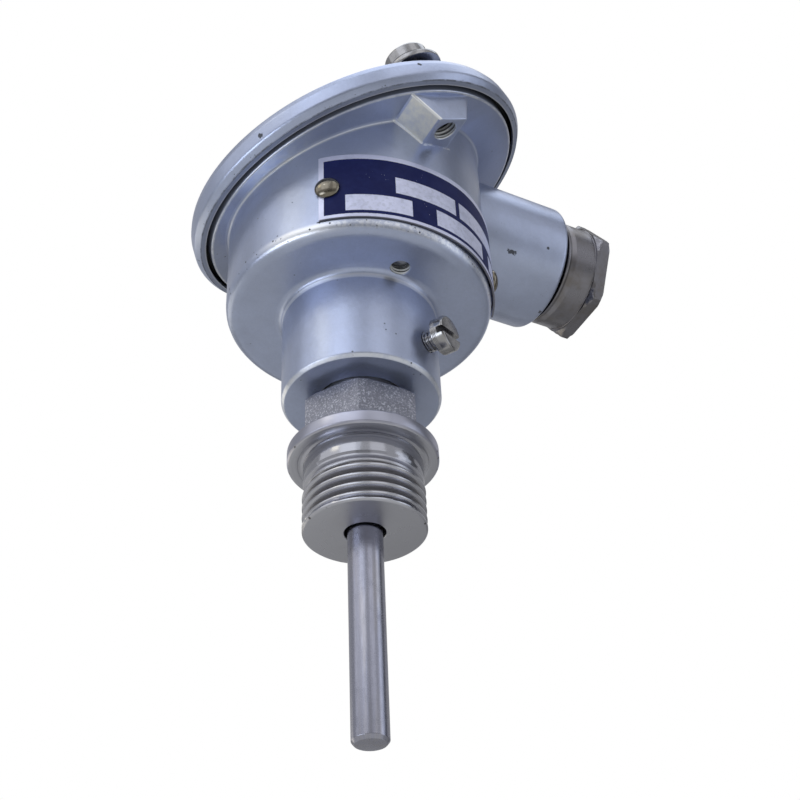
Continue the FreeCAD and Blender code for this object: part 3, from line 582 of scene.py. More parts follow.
class Look:
    """A material, with short ways to make and join its nodes."""

    def __init__(self, name):
        self.material = bpy.data.materials.new(name)
        self.material.use_nodes = True
        self.tree = self.material.node_tree
        self.shader = self.tree.nodes["Principled BSDF"]
        place = self.add("ShaderNodeTexCoord").outputs["Object"]
        self.place = self.vector("SCALE", place, scale=1 / MM)
        self.x, self.y, self.z = self.add_linked("ShaderNodeSeparateXYZ", self.place).outputs

    def put(self, socket, value):
        """Joins a socket to another one, or gives it a plain value."""
        if isinstance(value, bpy.types.NodeSocket):
            self.tree.links.new(value, socket)
        elif value is not None:
            socket.default_value = value

    def add(self, kind, **settings):
        node = self.tree.nodes.new(kind)
        for key, value in settings.items():
            setattr(node, key, value)
        return node

    def add_linked(self, kind, *values, **settings):
        """A node whose first inputs get these values."""
        node = self.add(kind, **settings)
        for socket, value in zip(node.inputs, values):
            self.put(socket, value)
        return node

    def finish(self, **values):
        """Sets the shader's inputs and returns the material."""
        for key, value in values.items():
            self.put(self.shader.inputs[key.replace("_", " ")], value)
        return self.material

    def math(self, operation, *values, clamp=False):
        return self.add_linked("ShaderNodeMath", *values, operation=operation, use_clamp=clamp).outputs[0]

    def less(self, a, b):
        return self.math("SUBTRACT", a, b)

    def plus(self, value, share, base):
        """A base and a share of a value."""
        return self.math("MULTIPLY_ADD", value, share, base)

    def sway(self, noise, reach, base):
        """A base that a noise moves up and down."""
        return self.plus(self.less(noise, 0.5), reach, base)

    def most(self, *values):
        out = values[0]
        for value in values[1:]:
            out = self.math("MAXIMUM", out, value)
        return out

    def times(self, *values):
        out = values[0]
        for value in values[1:]:
            out = self.math("MULTIPLY", out, value)
        return out

    def vector(self, operation, a, b=None, scale=None):
        node = self.add("ShaderNodeVectorMath", operation=operation)
        self.put(node.inputs[0], a)
        self.put(node.inputs[1], b)
        if scale is not None:
            self.put(node.inputs["Scale"], scale)
        return node.outputs["Value" if operation == "LENGTH" else "Vector"]

    def join(self, x, y, z=0.0):
        return self.add_linked("ShaderNodeCombineXYZ", x, y, z).outputs[0]

    def length(self, x, y):
        return self.vector("LENGTH", self.join(x, y))

    def degrees(self, x, y):
        """The bearing of a point, from -180 to 180."""
        return self.math("DEGREES", self.math("ARCTAN2", y, x))

    def step(self, value, low, high, to_low=0.0, to_high=1.0):
        """A soft step from to_low at low to to_high at high."""
        node = self.add_linked("ShaderNodeMapRange", value, low, high, to_low, to_high,
                               interpolation_type="SMOOTHSTEP")
        return node.outputs[0]

    def fall(self, value, low, high):
        """A soft step down from one at low to zero at high."""
        return self.step(value, low, high, 1.0, 0.0)

    def band(self, value, low, high, soft):
        """One between low and high, zero outside."""
        rise = self.step(value, low - soft, low + soft)
        return self.times(rise, self.fall(value, high - soft, high + soft))

    def noise(self, scale, detail=3.0, rough=0.55, vector=None, distortion=0.0):
        node = self.add("ShaderNodeTexNoise")
        self.put(node.inputs["Vector"], vector or self.place)
        node.inputs["Scale"].default_value = scale
        node.inputs["Detail"].default_value = detail
        node.inputs["Roughness"].default_value = rough
        node.inputs["Distortion"].default_value = distortion
        return node.outputs[0]

    def dots(self, scale, low, high):
        """Round specks, spread without order."""
        node = self.add("ShaderNodeTexVoronoi")
        self.put(node.inputs["Vector"], self.place)
        node.inputs["Scale"].default_value = scale
        return self.fall(node.outputs["Distance"], low, high)

    def patches(self, scale, low, high, detail=2.0):
        """Areas where a broad noise is high."""
        return self.step(self.noise(scale, detail), low, high)

    def spot(self, centre, radius, rough=0.5, stretch=(1, 1, 1)):
        """A mark with a ragged edge round one point."""
        offset = self.vector("MULTIPLY", self.vector("SUBTRACT", self.place, centre), stretch)
        ragged = self.sway(self.noise(2.2, 2.0), radius * rough * 4, self.vector("LENGTH", offset))
        return self.fall(ragged, radius * 0.8, radius * 1.1)

    def mix(self, share, a, b):
        node = self.add("ShaderNodeMix", data_type="RGBA")
        for socket, value in zip((node.inputs[0], *node.inputs[6:8]), (share, a, b)):
            self.put(socket, value)
        return node.outputs[2]

    def blend(self, share, a, b):
        """A number between a and b."""
        return self.add_linked("ShaderNodeMix", share, None, a, b, data_type="FLOAT").outputs[0]

    def bump(self, height, strength, distance):
        node = self.add("ShaderNodeBump")
        node.inputs["Strength"].default_value = strength
        node.inputs["Distance"].default_value = distance * MM
        self.put(node.inputs["Height"], height)
        return node.outputs[0]


def shaded(colour, share):
    """A darker tone of a colour."""
    return tuple(c * share for c in colour[:3]) + (1,)


LACQUER = (0.43, 0.49, 0.68, 1)
LACQUER_DEEP = (0.355, 0.40, 0.545, 1)
LACQUER_PALE_AND_HIGHLIGHT = (0.86, 0.88, 0.93, 1)
CHIP = (0.06, 0.068, 0.09, 1)
PAINTED_SHADE_COLOUR = (0.008, 0.009, 0.014, 1)
BARE_METAL_AND_REFLECTION = (0.76, 0.76, 0.71, 1)


def lacquered(name, part):
    """Aluminium lacquer with flakes, orange peel, worn edges, painted highlights, painted shade and small
    chips.

    part gives the masks of bare metal and a painted warm reflection, wear and painted highlights, dark
    marks, grime and painted shade under a lip, and painted shade."""
    look = Look(name)
    bare_and_reflection, worn, marks, grime, painted_shade = part(look)
    colour = look.mix(look.sway(look.noise(0.5, 3.0, 0.6), 0.5, look.patches(0.045, 0.3, 0.7, 3.0)),
                      LACQUER, LACQUER_DEEP)
    colour = look.mix(look.step(look.noise(9.0, 2.0, 0.7), 0.5, 0.8, 0.0, 0.22), colour, LACQUER_PALE_AND_HIGHLIGHT)
    colour = look.mix(look.step(look.noise(1.3, 4.0, 0.65), 0.42, 0.62, 0.0, 0.22), colour, LACQUER_DEEP)
    # grime: dirt on the head, painted shade under the cover's lip
    colour = look.mix(look.times(grime, 0.55), colour, LACQUER_DEEP)
    # worn: rubbed edges, and on the head painted highlights along edges and fillets
    colour = look.mix(worn, colour, LACQUER_PALE_AND_HIGHLIGHT)
    # bare: bare metal, and on the head a painted warm reflection on the rim's underside
    colour = look.mix(bare_and_reflection, colour, BARE_METAL_AND_REFLECTION)
    specks = look.times(look.dots(0.42, 0.05, 0.09), look.patches(0.09, 0.52, 0.6), 0.75)
    fine = look.times(look.dots(1.3, 0.10, 0.16), look.patches(0.25, 0.6, 0.68), 0.35)
    dark = look.most(marks, specks, fine)
    colour = look.mix(dark, colour, CHIP)
    # Painted shade, near black: in gaps, in hole depths, under the cover's lip and under the plate
    colour = look.mix(painted_shade, colour, PAINTED_SHADE_COLOUR)
    grain = look.noise(4.5, 3.0, 0.7)
    height = look.plus(grain, 0.32, look.noise(0.9, 2.0, 0.5))
    height = look.plus(look.noise(0.11, 2.0, 0.5), 5.0, height)
    height = look.less(height, look.times(dark, 0.9))
    rough = look.blend(worn, look.sway(grain, 0.16, 0.32), 0.28)
    rough = look.blend(bare_and_reflection, rough, 0.42)
    dull = look.most(dark, painted_shade)
    return look.finish(
        Base_Color=colour, Metallic=look.blend(dull, 0.82, 0.0), Roughness=look.blend(dull, rough, 0.7),
        Normal=look.bump(height, 0.5, 0.055), Coat_Weight=0.08, Coat_Roughness=0.3,
    )


def rim_frame(look):
    """Position in the slanted frame: along the rim, and over its underside."""
    dx = look.less(look.x, RIM_SHIFT * math.cos(TILT))
    dz = look.less(look.z, RIM_HEIGHT + RIM_SHIFT * math.sin(TILT))
    u = look.math("ADD", look.times(dx, math.cos(TILT)), look.times(dz, math.sin(TILT)))
    w = look.less(look.times(dz, math.cos(TILT)), look.times(dx, math.sin(TILT)))
    return u, w


def tapped_hole(look, reach, height, wall, core, start, roots, depth):
    """Masks of a tapped hole's wall, and of the shade in its thread and in its depth."""
    hole = look.times(look.fall(reach, *wall), look.step(height, *start))
    in_thread = look.times(hole, look.step(reach, *core), look.step(height, *roots), 0.8)
    return hole, look.most(in_thread, look.times(hole, look.step(height, *depth), 0.6))


def lug_face_and_highlights(look, u, w, radius):
    """Masks of the front lug: its sawn bare face, and painted highlights on the edges round it."""
    beside = look.math("ADD", u, look.plus(w, (LUG_TOP - LUG_LOW) / 2 / LUG_DROP, LUG_TOP / 2))
    face = look.times(
        look.fall(look.math("ABSOLUTE", beside), 0.1, 0.2), look.band(w, -5.65, -0.35, 0.1),
        look.fall(look.y, -24.9, -24.8), look.step(look.y, -31.2, -31.0),
        look.step(look.noise(0.55, 4.0, 0.6), 0.3, 0.7, 0.6, 1.0))
    patchy = look.patches(0.6, 0.42, 0.62, 3.0)
    below_rim = look.band(w, -5.9, 0.05, 0.06)
    in_front = look.fall(look.y, -20.0, -19.9)
    outer = look.times(below_rim, look.band(look.y, -31.45, -31.0, 0.04),
                       look.band(beside, -0.05, 0.55, 0.04))
    foot = look.times(below_rim, in_front, look.band(beside, -0.5, 0.02, 0.05),
                      look.fall(radius, 25.0, 25.1))
    under = look.times(in_front, look.band(w, -6.35, -LUG_DROP, 0.05), look.fall(radius, 24.95, 25.05),
                       look.band(u, -3.4, 4.0, 0.1), patchy, 0.8)
    return face, look.most(outer, foot, under)


def housing_marks(look):
    u, w = rim_frame(look)
    side = look.math("ABSOLUTE", look.y)
    radius = look.length(look.x, look.y)
    turn = look.degrees(look.x, look.y)
    rim_radius = look.length(u, look.y)
    rim_turn = look.degrees(u, look.y)
    # Tapped holes and the sawn face of the front lug are bare metal, with painted shade in the holes'
    # threads and depths; a painted warm reflection lies on the rim's underside
    insert_hole, insert_shade = tapped_hole(
        look, look.length(look.x, look.less(side, INSERT_SPREAD)), look.z, wall=(2.06, 2.12),
        core=(1.84, 1.94), start=(FLOOR_LOW + 0.03, FLOOR_LOW + 0.09), roots=(31.4, 31.5),
        depth=(33.0, 34.0))
    lug_hole, lug_shade = tapped_hole(
        look, look.length(u, look.less(side, SCREW_SPREAD)), w, wall=(2.6, 2.7), core=(2.36, 2.46),
        start=(0.02 - LUG_DROP, 0.07 - LUG_DROP), roots=(-5.5, -5.4), depth=(-4.6, -3.4))
    face, lug_highlights = lug_face_and_highlights(look, u, w, radius)
    bore = look.times(look.fall(radius, 8.2, 8.5), look.fall(look.z, 31, 31.2), 0.6)
    # Painted warm reflection: a cream patch on the rim's underside at the left
    warm_rim_reflection = look.times(
        look.band(rim_turn, -172, -140, 12), look.band(w, -0.3, 0.2, 0.1),
        look.step(rim_radius, 27.0, 28.0), look.step(look.noise(0.5, 3.0, 0.6), 0.3, 0.7, 0.4, 1.0), 0.5)
    bare_and_reflection = look.most(face, bore, look.times(look.most(insert_hole, lug_hole), 0.6), warm_rim_reflection)
    # Edges of neck, drum, rim and lug, rubbed bright and with painted highlights; painted sheen on the
    # neck's root and the drum's lower left
    neck_edge = look.times(look.band(look.z, 13.0, 13.6, 0.25), look.step(radius, 13.6, 13.7),
                           look.step(look.noise(0.8, 3.0, 0.6), 0.3, 0.6, 0.55, 1.0), 0.6)
    neck_root = look.times(look.band(look.z, 30.7, 31.5, 0.2), look.band(radius, 14.0, 15.2, 0.3), 0.8)
    sheen = look.times(look.band(radius, 14.6, 15.9, 0.5), look.band(look.z, 30.7, 31.6, 0.3),
                       look.band(turn, -108, -40, 12), 0.55)
    drum_edge = look.times(
        look.band(look.z, 33.2, 34.5, 0.3), look.step(radius, 22.5, 23.5), look.band(turn, -158, 0, 10),
        look.step(look.noise(1.5, 4.0, 0.6), 0.4, 0.58, 0.35, 1.0), 0.6)
    drum_left = look.times(look.band(look.z, 33.0, 34.5, 0.5), look.step(radius, 22.9, 23.6),
                           look.band(turn, -156, -126, 10), 0.9)
    rim_edge = look.times(
        look.band(rim_radius, RIM_RADIUS - 0.45, RIM_RADIUS - 0.05, 0.08), look.band(w, -0.1, 0.25, 0.05),
        look.plus(look.patches(0.6, 0.42, 0.62, 3.0), 0.35, 0.4), 0.8)
    corner = look.times(look.band(w, -0.45, 0.0, 0.1), look.fall(radius, 25.5, 25.6),
                        look.fall(look.x, -2, 2), 0.4)
    # worn: the rubbed edges and the painted highlights above
    worn = look.most(neck_edge, drum_edge, neck_root, rim_edge, corner, lug_highlights, sheen, drum_left)
    drum_speckle = look.times(look.band(look.z, 33.2, 35.2, 0.5), look.step(radius, 23.8, 24.2),
                              look.dots(1.05, 0.16, 0.24), look.patches(0.22, 0.46, 0.52))
    neck_speckle = look.times(look.band(look.z, 13.1, 14.0, 0.3), look.step(radius, 13.5, 13.7),
                              look.dots(1.0, 0.14, 0.2), look.patches(0.2, 0.52, 0.58))
    marks = look.most(drum_speckle, neck_speckle, *[look.spot(*chip) for chip in HOUSING_CHIPS])
    grime = look.step(look.noise(0.12, 4.0, 0.65), 0.5, 0.75)
    # Painted shade on the rim's side in the cover's gap, and a painted shadow line under the plate
    rim_gap_shade = look.times(look.step(rim_radius, RIM_RADIUS - 0.2, RIM_RADIUS - 0.05),
                        look.step(w, 0.2, 0.45), 0.7)
    plate_shadow_line = look.times(look.band(look.z, PLATE_LOW - 0.22, PLATE_LOW + 0.08, 0.05),
                             look.step(radius, 24.5, 24.6), look.fall(look.y, 0, 1),
                             look.band(look.x, -17.0, 24.5, 0.1), 0.85)
    return bare_and_reflection, worn, marks, grime, look.most(rim_gap_shade, plate_shadow_line, insert_shade, lug_shade)


def cover_marks(look):
    u, w = rim_frame(look)
    radius = look.length(u, look.y)
    beside_screw = look.length(u, look.less(look.math("ABSOLUTE", look.y), SCREW_SPREAD))
    seat = look.times(look.fall(beside_screw, 5.9, 6.0), look.band(w, 7.2, 7.9, 0.1), 0.8)
    inner_edge = look.times(look.band(radius, 33.2, 33.55, 0.06), look.fall(w, 0.8, 0.9), 0.4)
    scored = look.plus(look.step(look.noise(0.35, 4.0, 0.7), 0.4, 0.6), 0.55, 0.25)
    line = look.times(look.band(w, 0.7, 0.9, 0.05), look.band(radius, 34.2, 34.6, 0.1), scored)
    nicks = look.times(look.dots(1.6, 0.16, 0.26), look.patches(0.3, 0.5, 0.58),
                       look.band(w, 0.5, 1.2, 0.1), look.step(radius, 33.9, 34.1), 0.9)
    marks = look.most(nicks, line, *[look.spot(*chip) for chip in COVER_CHIPS])
    # Painted shade under the lip, returned as grime and a share of it as shade, and on the cover's inner
    # wall in the gap
    lip = look.times(look.fall(w, 0.72, 0.8), look.step(radius, 33.3, 33.4))
    cover_gap_shade = look.times(look.fall(radius, 34.0, 34.15), look.band(w, 1.3, 4.95, 0.1))
    return seat, inner_edge, marks, lip, look.most(cover_gap_shade, look.times(lip, 0.3))


def fitting_steel(name):
    """Stainless steel: polished collar and neck, dull thread, grainy forged wrench flats."""
    look = Look(name)
    steel = (0.50, 0.51, 0.575, 1)
    radius = look.length(look.x, look.y)
    turn = look.math("ARCTAN2", look.y, look.x)
    on_ring = look.join(look.times(radius, 5.0), look.times(look.z, 5.0), look.times(turn, 0.3))
    rings = look.noise(1.0, 2.0, 0.6, on_ring)
    cloud = look.noise(0.3, 4.0, 0.6)
    shade = look.mix(look.step(rings, 0.4, 0.7, 0.0, 0.25), steel, shaded(steel, 0.7))
    shade = look.mix(look.step(cloud, 0.55, 0.8, 0.0, 0.35), shade, (0.40, 0.37, 0.32, 1))
    rough = look.blend(look.band(look.z, -4.3, -0.1, 0.1), look.sway(rings, 0.12, 0.30), 0.14)
    rough = look.sway(cloud, 0.12, rough)
    # Ground collar with faint painted reflection bands, polished neck over the thread, end face
    collar = look.times(look.band(look.z, 0.1, 2.5, 0.06), look.step(radius, 12.6, 12.8))
    around = look.join(look.math("COSINE", turn), look.math("SINE", turn))
    reflection_bands = look.step(look.noise(1.6, 2.0, 0.5, around), 0.4, 0.6)
    ground = look.mix(reflection_bands, (0.35, 0.36, 0.45, 1), (0.50, 0.51, 0.64, 1))
    shade = look.mix(look.times(collar, 0.85), shade, ground)
    rough = look.blend(collar, rough, 0.3)
    shade = look.mix(look.times(look.band(look.z, -4.4, -0.1, 0.06), 0.7), shade, shaded(steel, 0.7))
    shade = look.mix(look.times(look.fall(look.z, -13.3, -13.2), 0.7), shade, shaded(steel, 0.9))
    # Thread: painted shade in the valleys, painted highlights on the crests
    thread = look.times(look.band(look.z, -13.1, -5.2, 0.1), look.step(radius, 9.0, 9.1))
    valley = look.times(thread, look.fall(radius, 9.75, 10.3))
    shade = look.mix(look.times(valley, 0.65), shade, (0.17, 0.16, 0.155, 1))
    shade = look.mix(look.times(thread, look.step(radius, 10.3, 10.42)), shade, (0.47, 0.48, 0.54, 1))
    rough = look.blend(thread, rough, look.plus(valley, 0.25, 0.17))
    collar_edge = look.times(look.band(look.z, 0.05, 0.6, 0.08), look.step(radius, 12.7, 12.8))
    end_edge = look.times(look.band(look.z, -13.45, -12.9, 0.08), look.step(radius, 10.0, 10.1))
    nicks = look.times(look.most(collar_edge, end_edge), look.dots(0.8, 0.18, 0.25),
                       look.patches(0.2, 0.40, 0.46, 1.0))
    shade = look.mix(look.times(nicks, 0.85), shade, (0.0525, 0.05, 0.0475, 1))
    height = look.plus(look.noise(6.0, 2.0, 0.6), 0.15, look.times(rings, 0.5))
    height = look.less(height, look.times(nicks, 8.0))
    # Wrench flats: as forged, with small bright crumbs
    forged = look.times(look.band(look.z, 3.3, 11.15, 0.08), look.step(radius, 8.6, 9.0))
    crumb = look.noise(3.2, 5.0, 0.72, distortion=0.5)
    lumps = look.noise(0.8, 3.0, 0.6)
    scale = look.mix(lumps, (0.19, 0.195, 0.23, 1), (0.30, 0.31, 0.38, 1))
    shade = look.mix(forged, shade, look.mix(look.step(crumb, 0.5, 0.64), scale, (0.56, 0.58, 0.67, 1)))
    rough = look.blend(forged, rough, 0.5)
    height = look.blend(forged, height, look.plus(crumb, 9.0, look.times(lumps, 5.0)))
    tangent = look.add("ShaderNodeTangent", direction_type="RADIAL", axis="Z").outputs[0]
    return look.finish(Base_Color=shade, Metallic=1.0, Roughness=rough, Anisotropic=0.35, Tangent=tangent,
                       Normal=look.bump(height, 0.35, 0.012))


def drawn_steel(name):
    """Drawn tube: streaks along its length and faint stains."""
    look = Look(name)
    steel = (0.36, 0.37, 0.46, 1)
    turn = look.math("ARCTAN2", look.y, look.x)
    along = look.join(look.math("COSINE", turn), look.math("SINE", turn), look.times(look.z, 0.03))
    streaks = look.noise(14.0, 3.0, 0.65, along)
    wide = look.noise(2.2, 2.0, 0.5, along)
    cloud = look.noise(0.35, 4.0, 0.6)
    shade = look.mix(look.step(streaks, 0.38, 0.68, 0.0, 0.2), steel, shaded(steel, 0.65))
    shade = look.mix(look.step(wide, 0.45, 0.7, 0.0, 0.3), shade, (0.42, 0.39, 0.36, 1))
    shade = look.mix(look.step(cloud, 0.5, 0.75, 0.0, 0.35), shade, shaded(steel, 0.7))
    rough = look.sway(streaks, 0.12, look.sway(cloud, 0.2, 0.25))
    return look.finish(Base_Color=shade, Metallic=1.0, Roughness=rough,
                       Normal=look.bump(look.plus(look.noise(5.0, 2.0, 0.6), 0.3, streaks), 0.35, 0.015))


def gland_metal(name):
    """Nickel on brass gone dull and brownish, with painted shade next to its ring: at its foot by the boss
    and in the groove.
    """
    look = Look(name)
    cloud = look.noise(0.22, 4.0, 0.6)
    blot = look.noise(0.7, 3.0, 0.6)
    shade = look.mix(look.step(cloud, 0.4, 0.7, 0.0, 0.7), (0.225, 0.222, 0.25, 1), (0.165, 0.15, 0.14, 1))
    shade = look.mix(look.step(blot, 0.55, 0.75, 0.0, 0.3), shade, (0.14, 0.13, 0.13, 1))
    # Painted shade at the foot by the boss and in the groove beside the ring
    foot = look.band(look.x, BOSS_END - 0.1, BOSS_END + 1.2, 0.15)
    groove = look.times(look.band(look.x, BOSS_END + 1.9, BOSS_END + 2.4, 0.15), 0.7)
    shade = look.mix(look.times(look.most(foot, groove), 0.85), shade, (0.05, 0.05, 0.055, 1))
    return look.finish(Base_Color=shade, Metallic=1.0, Roughness=look.sway(cloud, 0.2, 0.30),
                       Normal=look.bump(look.noise(5.0, 2.0, 0.6), 0.25, 0.01))


def plated_steel(name, colour, rough, grime):
    """Small plated parts: cloudy gloss, scratches and dark clouds."""
    look = Look(name)
    cloud = look.noise(0.9, 4.0, 0.65)
    scratch = look.noise(3.0, 3.0, 0.7, look.vector("MULTIPLY", look.place, (1.0, 6.0, 0.6)))
    shade = look.mix(look.times(look.step(cloud, 0.45, 0.75), grime), colour, shaded(colour, 0.35))
    return look.finish(Base_Color=shade, Metallic=1.0, Roughness=look.sway(cloud, 0.3, rough),
                       Normal=look.bump(look.plus(look.noise(8.0, 2.0, 0.6), 0.3, scratch), 0.12, 0.01))


def printed_plate(name):
    """Navy print on silver with blank fields, by angle round the drum and height."""
    look = Look(name)
    margin = 2.2
    rise = look.less(look.z, PLATE_LOW)
    run = look.less(look.degrees(look.x, look.y), PLATE_START)
    wobble = look.times(look.less(look.noise(2.5, 2.0), 0.5), 0.12)
    rise_edge = look.math("ADD", rise, wobble)
    run_edge = look.math("ADD", run, wobble)
    printed = look.times(look.band(run_edge, margin, PLATE_SWEEP - margin, 0.12),
                         look.band(rise_edge, 0.75, 14.2, 0.05))
    fields = look.most(*[
        look.times(look.band(run_edge, first, last, 0.12), look.band(rise_edge, low, high, 0.06))
        for first, last, low, high in PLATE_FIELDS])
    ink = look.math("SUBTRACT", printed, fields, clamp=True)
    worn = look.times(look.dots(1.4, 0.07, 0.11), look.patches(0.3, 0.55, 0.62), 0.6)
    ink = look.times(ink, look.less(1.0, worn))
    cloud = look.step(look.noise(0.4, 4.0, 0.65), 0.35, 0.75)
    silver = look.mix(cloud, (0.66, 0.69, 0.90, 1), (0.55, 0.58, 0.77, 1))
    navy = look.mix(cloud, (0.007, 0.011, 0.075, 1), (0.011, 0.017, 0.095, 1))
    brush = look.noise(1.0, 2.0, 0.6, look.join(look.times(run, 0.12), look.times(rise, 9.0)))
    pressed = look.noise(1.1, 3.0, 0.55)
    dents = look.times(fields, look.step(pressed, 0.5, 0.62), 0.3)
    silver = look.mix(dents, silver, (0.36, 0.39, 0.50, 1))
    # Painted shade on the plate's lower edge
    silver = look.mix(look.step(rise, 0.02, 0.08, 0.85, 0.0), silver, (0.10, 0.10, 0.12, 1))
    return look.finish(
        Base_Color=look.mix(ink, silver, navy), Metallic=look.blend(ink, 0.55, 0.0),
        Roughness=look.blend(ink, look.plus(brush, 0.12, 0.33), 0.5),
        Normal=look.bump(look.plus(ink, 0.5, look.times(pressed, 0.7)), 0.5, 0.03),
        Specular_IOR_Level=look.blend(ink, 0.5, 0.12),
    )


def soft_black(name):
    """Black rubber with a little dust."""
    look = Look(name)
    dust = look.step(look.noise(0.5, 3.0), 0.5, 0.75, 0.0, 0.5)
    shade = look.mix(dust, (0.012, 0.012, 0.012, 1), (0.0515, 0.05, 0.0485, 1))
    grain = look.noise(3.0, 4.0, 0.7)
    return look.finish(Base_Color=shade, Roughness=0.62, Normal=look.bump(grain, 0.3, 0.04))


def fired_clay(name):
    """Pale ceramic with fine specks."""
    look = Look(name)
    grain = look.noise(4.0, 4.0, 0.7)
    shade = look.mix(look.patches(0.3, 0.35, 0.7, 4.0), (0.80, 0.76, 0.67, 1), (0.72, 0.67, 0.57, 1))
    shade = look.mix(look.times(look.dots(1.2, 0.06, 0.1), 0.4), shade, (0.35, 0.3, 0.24, 1))
    return look.finish(Base_Color=shade, Roughness=look.plus(grain, 0.3, 0.32),
                       Normal=look.bump(grain, 0.35, 0.05), Subsurface_Weight=0.06)


def wound_wire(name, colour, rough):
    """Drawn wire: bright metal with a cloudy oxide."""
    look = Look(name)
    fine = look.noise(7.0, 2.0, 0.6)
    oxide = look.step(look.noise(0.8, 4.0, 0.65), 0.4, 0.75, 0.0, 0.6)
    return look.finish(Base_Color=look.mix(oxide, colour, shaded(colour, 0.45)), Metallic=1.0,
                       Roughness=look.plus(fine, 0.2, rough - 0.1), Normal=look.bump(fine, 0.3, 0.01))


def flat_material(name, colour, cover=1.0):
    """A dull sheet's finish, which hides this share of what lies behind it."""
    look = Look(name)
    shade = look.mix(look.noise(0.01, 3.0), colour, shaded(colour, 0.96))
    return look.finish(Base_Color=shade, Roughness=0.9, Specular_IOR_Level=0.0, Alpha=cover)


# The assembly

def dress(obj, body, material, slot, *replaced):
    """Gives a piece its finish, its body and the nodes that it stands for."""
    obj.data.materials.clear()
    obj.data.materials.append(material)
    if body:
        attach(obj, body)
    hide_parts(*replaced)
    return obj


def finish_node(node, material):
    """Gives a CAD node that stays a detailed finish."""
    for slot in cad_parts[node].material_slots:
        slot.material = material


SIDES = {"front": -1, "rear": 1}
HANDS = {"left": -1, "right": 1}

# Each rivet's angle, its gap to the drum's plate and how far it sits under the middle
RIVETS = {
    "left": (PLATE_START + RIVET_INSET, 0, 0.4),
    "right": (PLATE_START + PLATE_SWEEP - RIVET_INSET, PLATE_GAP, 0),
}

tube_steel = drawn_steel("sheath_steel")
screw_metal = plated_steel("screw_metal", (0.36, 0.36, 0.38, 1), 0.19, 0.3)
rivet_metal = plated_steel("rivet_metal", (0.22, 0.20, 0.165, 1), 0.14, 0.3)
brass = plated_steel("terminal_brass", (0.72, 0.52, 0.22, 1), 0.28, 0.35)
rubber = soft_black("black_rubber")
clay = fired_clay("ceramic")
spring_wire = wound_wire("spring_wire", (0.48, 0.46, 0.43, 1), 0.3)
lead_metal = wound_wire("lead_metal", (0.72, 0.71, 0.68, 1), 0.25)

dress(fitting(), "fitting", fitting_steel("fitting_steel"), "stainless", "process_fitting")
dress(tube(), "insert", tube_steel, "stainless", "sheath_tube")
dress(housing(), "head", lacquered("head_lacquer", housing_marks), "head_paint", "head_housing")
dress(cover(), "cover", lacquered("cover_lacquer", cover_marks), "head_paint", "cover")
dress(gasket(), "cover", rubber, "black_rubber", "cover_gasket")
dress(gland(), "gland_screw", gland_metal("gland_nickel"), "gland_nickel", "gland_screw")
dress(name_plate(), "head", printed_plate("plate_print"), "plate_aluminium", "name_plate")

clamp_place = CLAMP @ Matrix.Translation((0, 0, CLAMP_SEAT))
clamp = slotted_screw("clamp", CLAMP_SCREW, clamp_place, math.radians(102), -0.3)
dress(clamp, "clamp_screw", screw_metal, "screw_steel", "clamp_screw")

for name, side in SIDES.items():
    place = beside_cover(side, COVER_SCREW_SEAT)
    bolt = slotted_screw("cover_bolt_" + name, COVER_SCREW, place, 0.6 * side)
    dress(bolt, "cover_screw_" + name, screw_metal, "screw_steel", "cover_screw_" + name)
    dress(washer("cover_ring_" + name, side), "cover", screw_metal, "screw_steel", "cover_washer_" + name)
    place = Matrix.Translation((0, side * INSERT_SPREAD, INSERT_SCREW_SEAT))
    bolt = slotted_screw("insert_bolt_" + name, INSERT_SCREW, place, 0.4 + side)
    dress(bolt, "insert_screw_" + name, screw_metal, "screw_steel", "insert_screw_" + name)
    spring = dress(coil("spring_" + name, side), None, spring_wire, "spring_steel", "insert_spring_" + name)
    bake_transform(spring)
    for hand, beside in HANDS.items():
        node = f"terminal_screw_{hand}_{name}"
        place = Matrix.Translation((beside * TERMINAL_SPREAD[0], side * TERMINAL_SPREAD[1], TERMINAL_SEAT))
        bolt = slotted_screw(f"terminal_bolt_{hand}_{name}", TERMINAL_SCREW, place, 0.3 + side + beside)
        dress(bolt, node, brass, "terminal_brass", node)

for hand, place in RIVETS.items():
    dress(rivet("rivet_dome_" + hand, *place), "head", rivet_metal, "screw_steel", "rivet_" + hand)
    finish_node("terminal_bar_" + hand, brass)
    finish_node("lead_" + hand, lead_metal)

dress(softened("terminal_block", "block", 0.5, 3), "insert", clay, "ceramic", "terminal_block")
dress(softened("insert_plate", "plate_disc", 0.25), "insert", tube_steel, "stainless", "insert_plate")
finish_node("insulating_rod", clay)
finish_node("sensing_element", clay)
finish_node("gland_disc", screw_metal)
finish_node("gland_seal", rubber)


# Camera, light and surroundings

CAMERA_PLACE = Vector((-87.3729437, -169.3661005, -127.9739172)) * MM
CAMERA_RIGHT = Vector((0.8847477560, -0.4644742581, -0.0385366295))
CAMERA_DOWN = Vector((0.2503103661, 0.5432881594, -0.8013630242))
CAMERA_AHEAD = Vector((0.3931489906, 0.6993580195, 0.5969357015))
CENTRE = Vector((0.004, 0, 0.030))
FLOOR = -0.20
FLOOR_SIZE = 60
CARD_LOW = -0.17
CARD_HIGH = 1.07
DAYLIGHT = (0.86, 0.92, 1.0)
CREAM = (1.0, 0.92, 0.66)
WARM = (1.0, 0.93, 0.74)

camera = bpy.data.objects.new("camera", bpy.data.cameras.new("camera"))
bpy.context.scene.collection.objects.link(camera)
camera.matrix_world = Matrix.Translation(CAMERA_PLACE) @ Matrix(
    (CAMERA_RIGHT, -CAMERA_DOWN, -CAMERA_AHEAD)).transposed().to_4x4()
camera.data.sensor_width = 36.0
camera.data.lens = 60.17
camera.data.clip_start = 0.01
bpy.context.scene.camera = camera


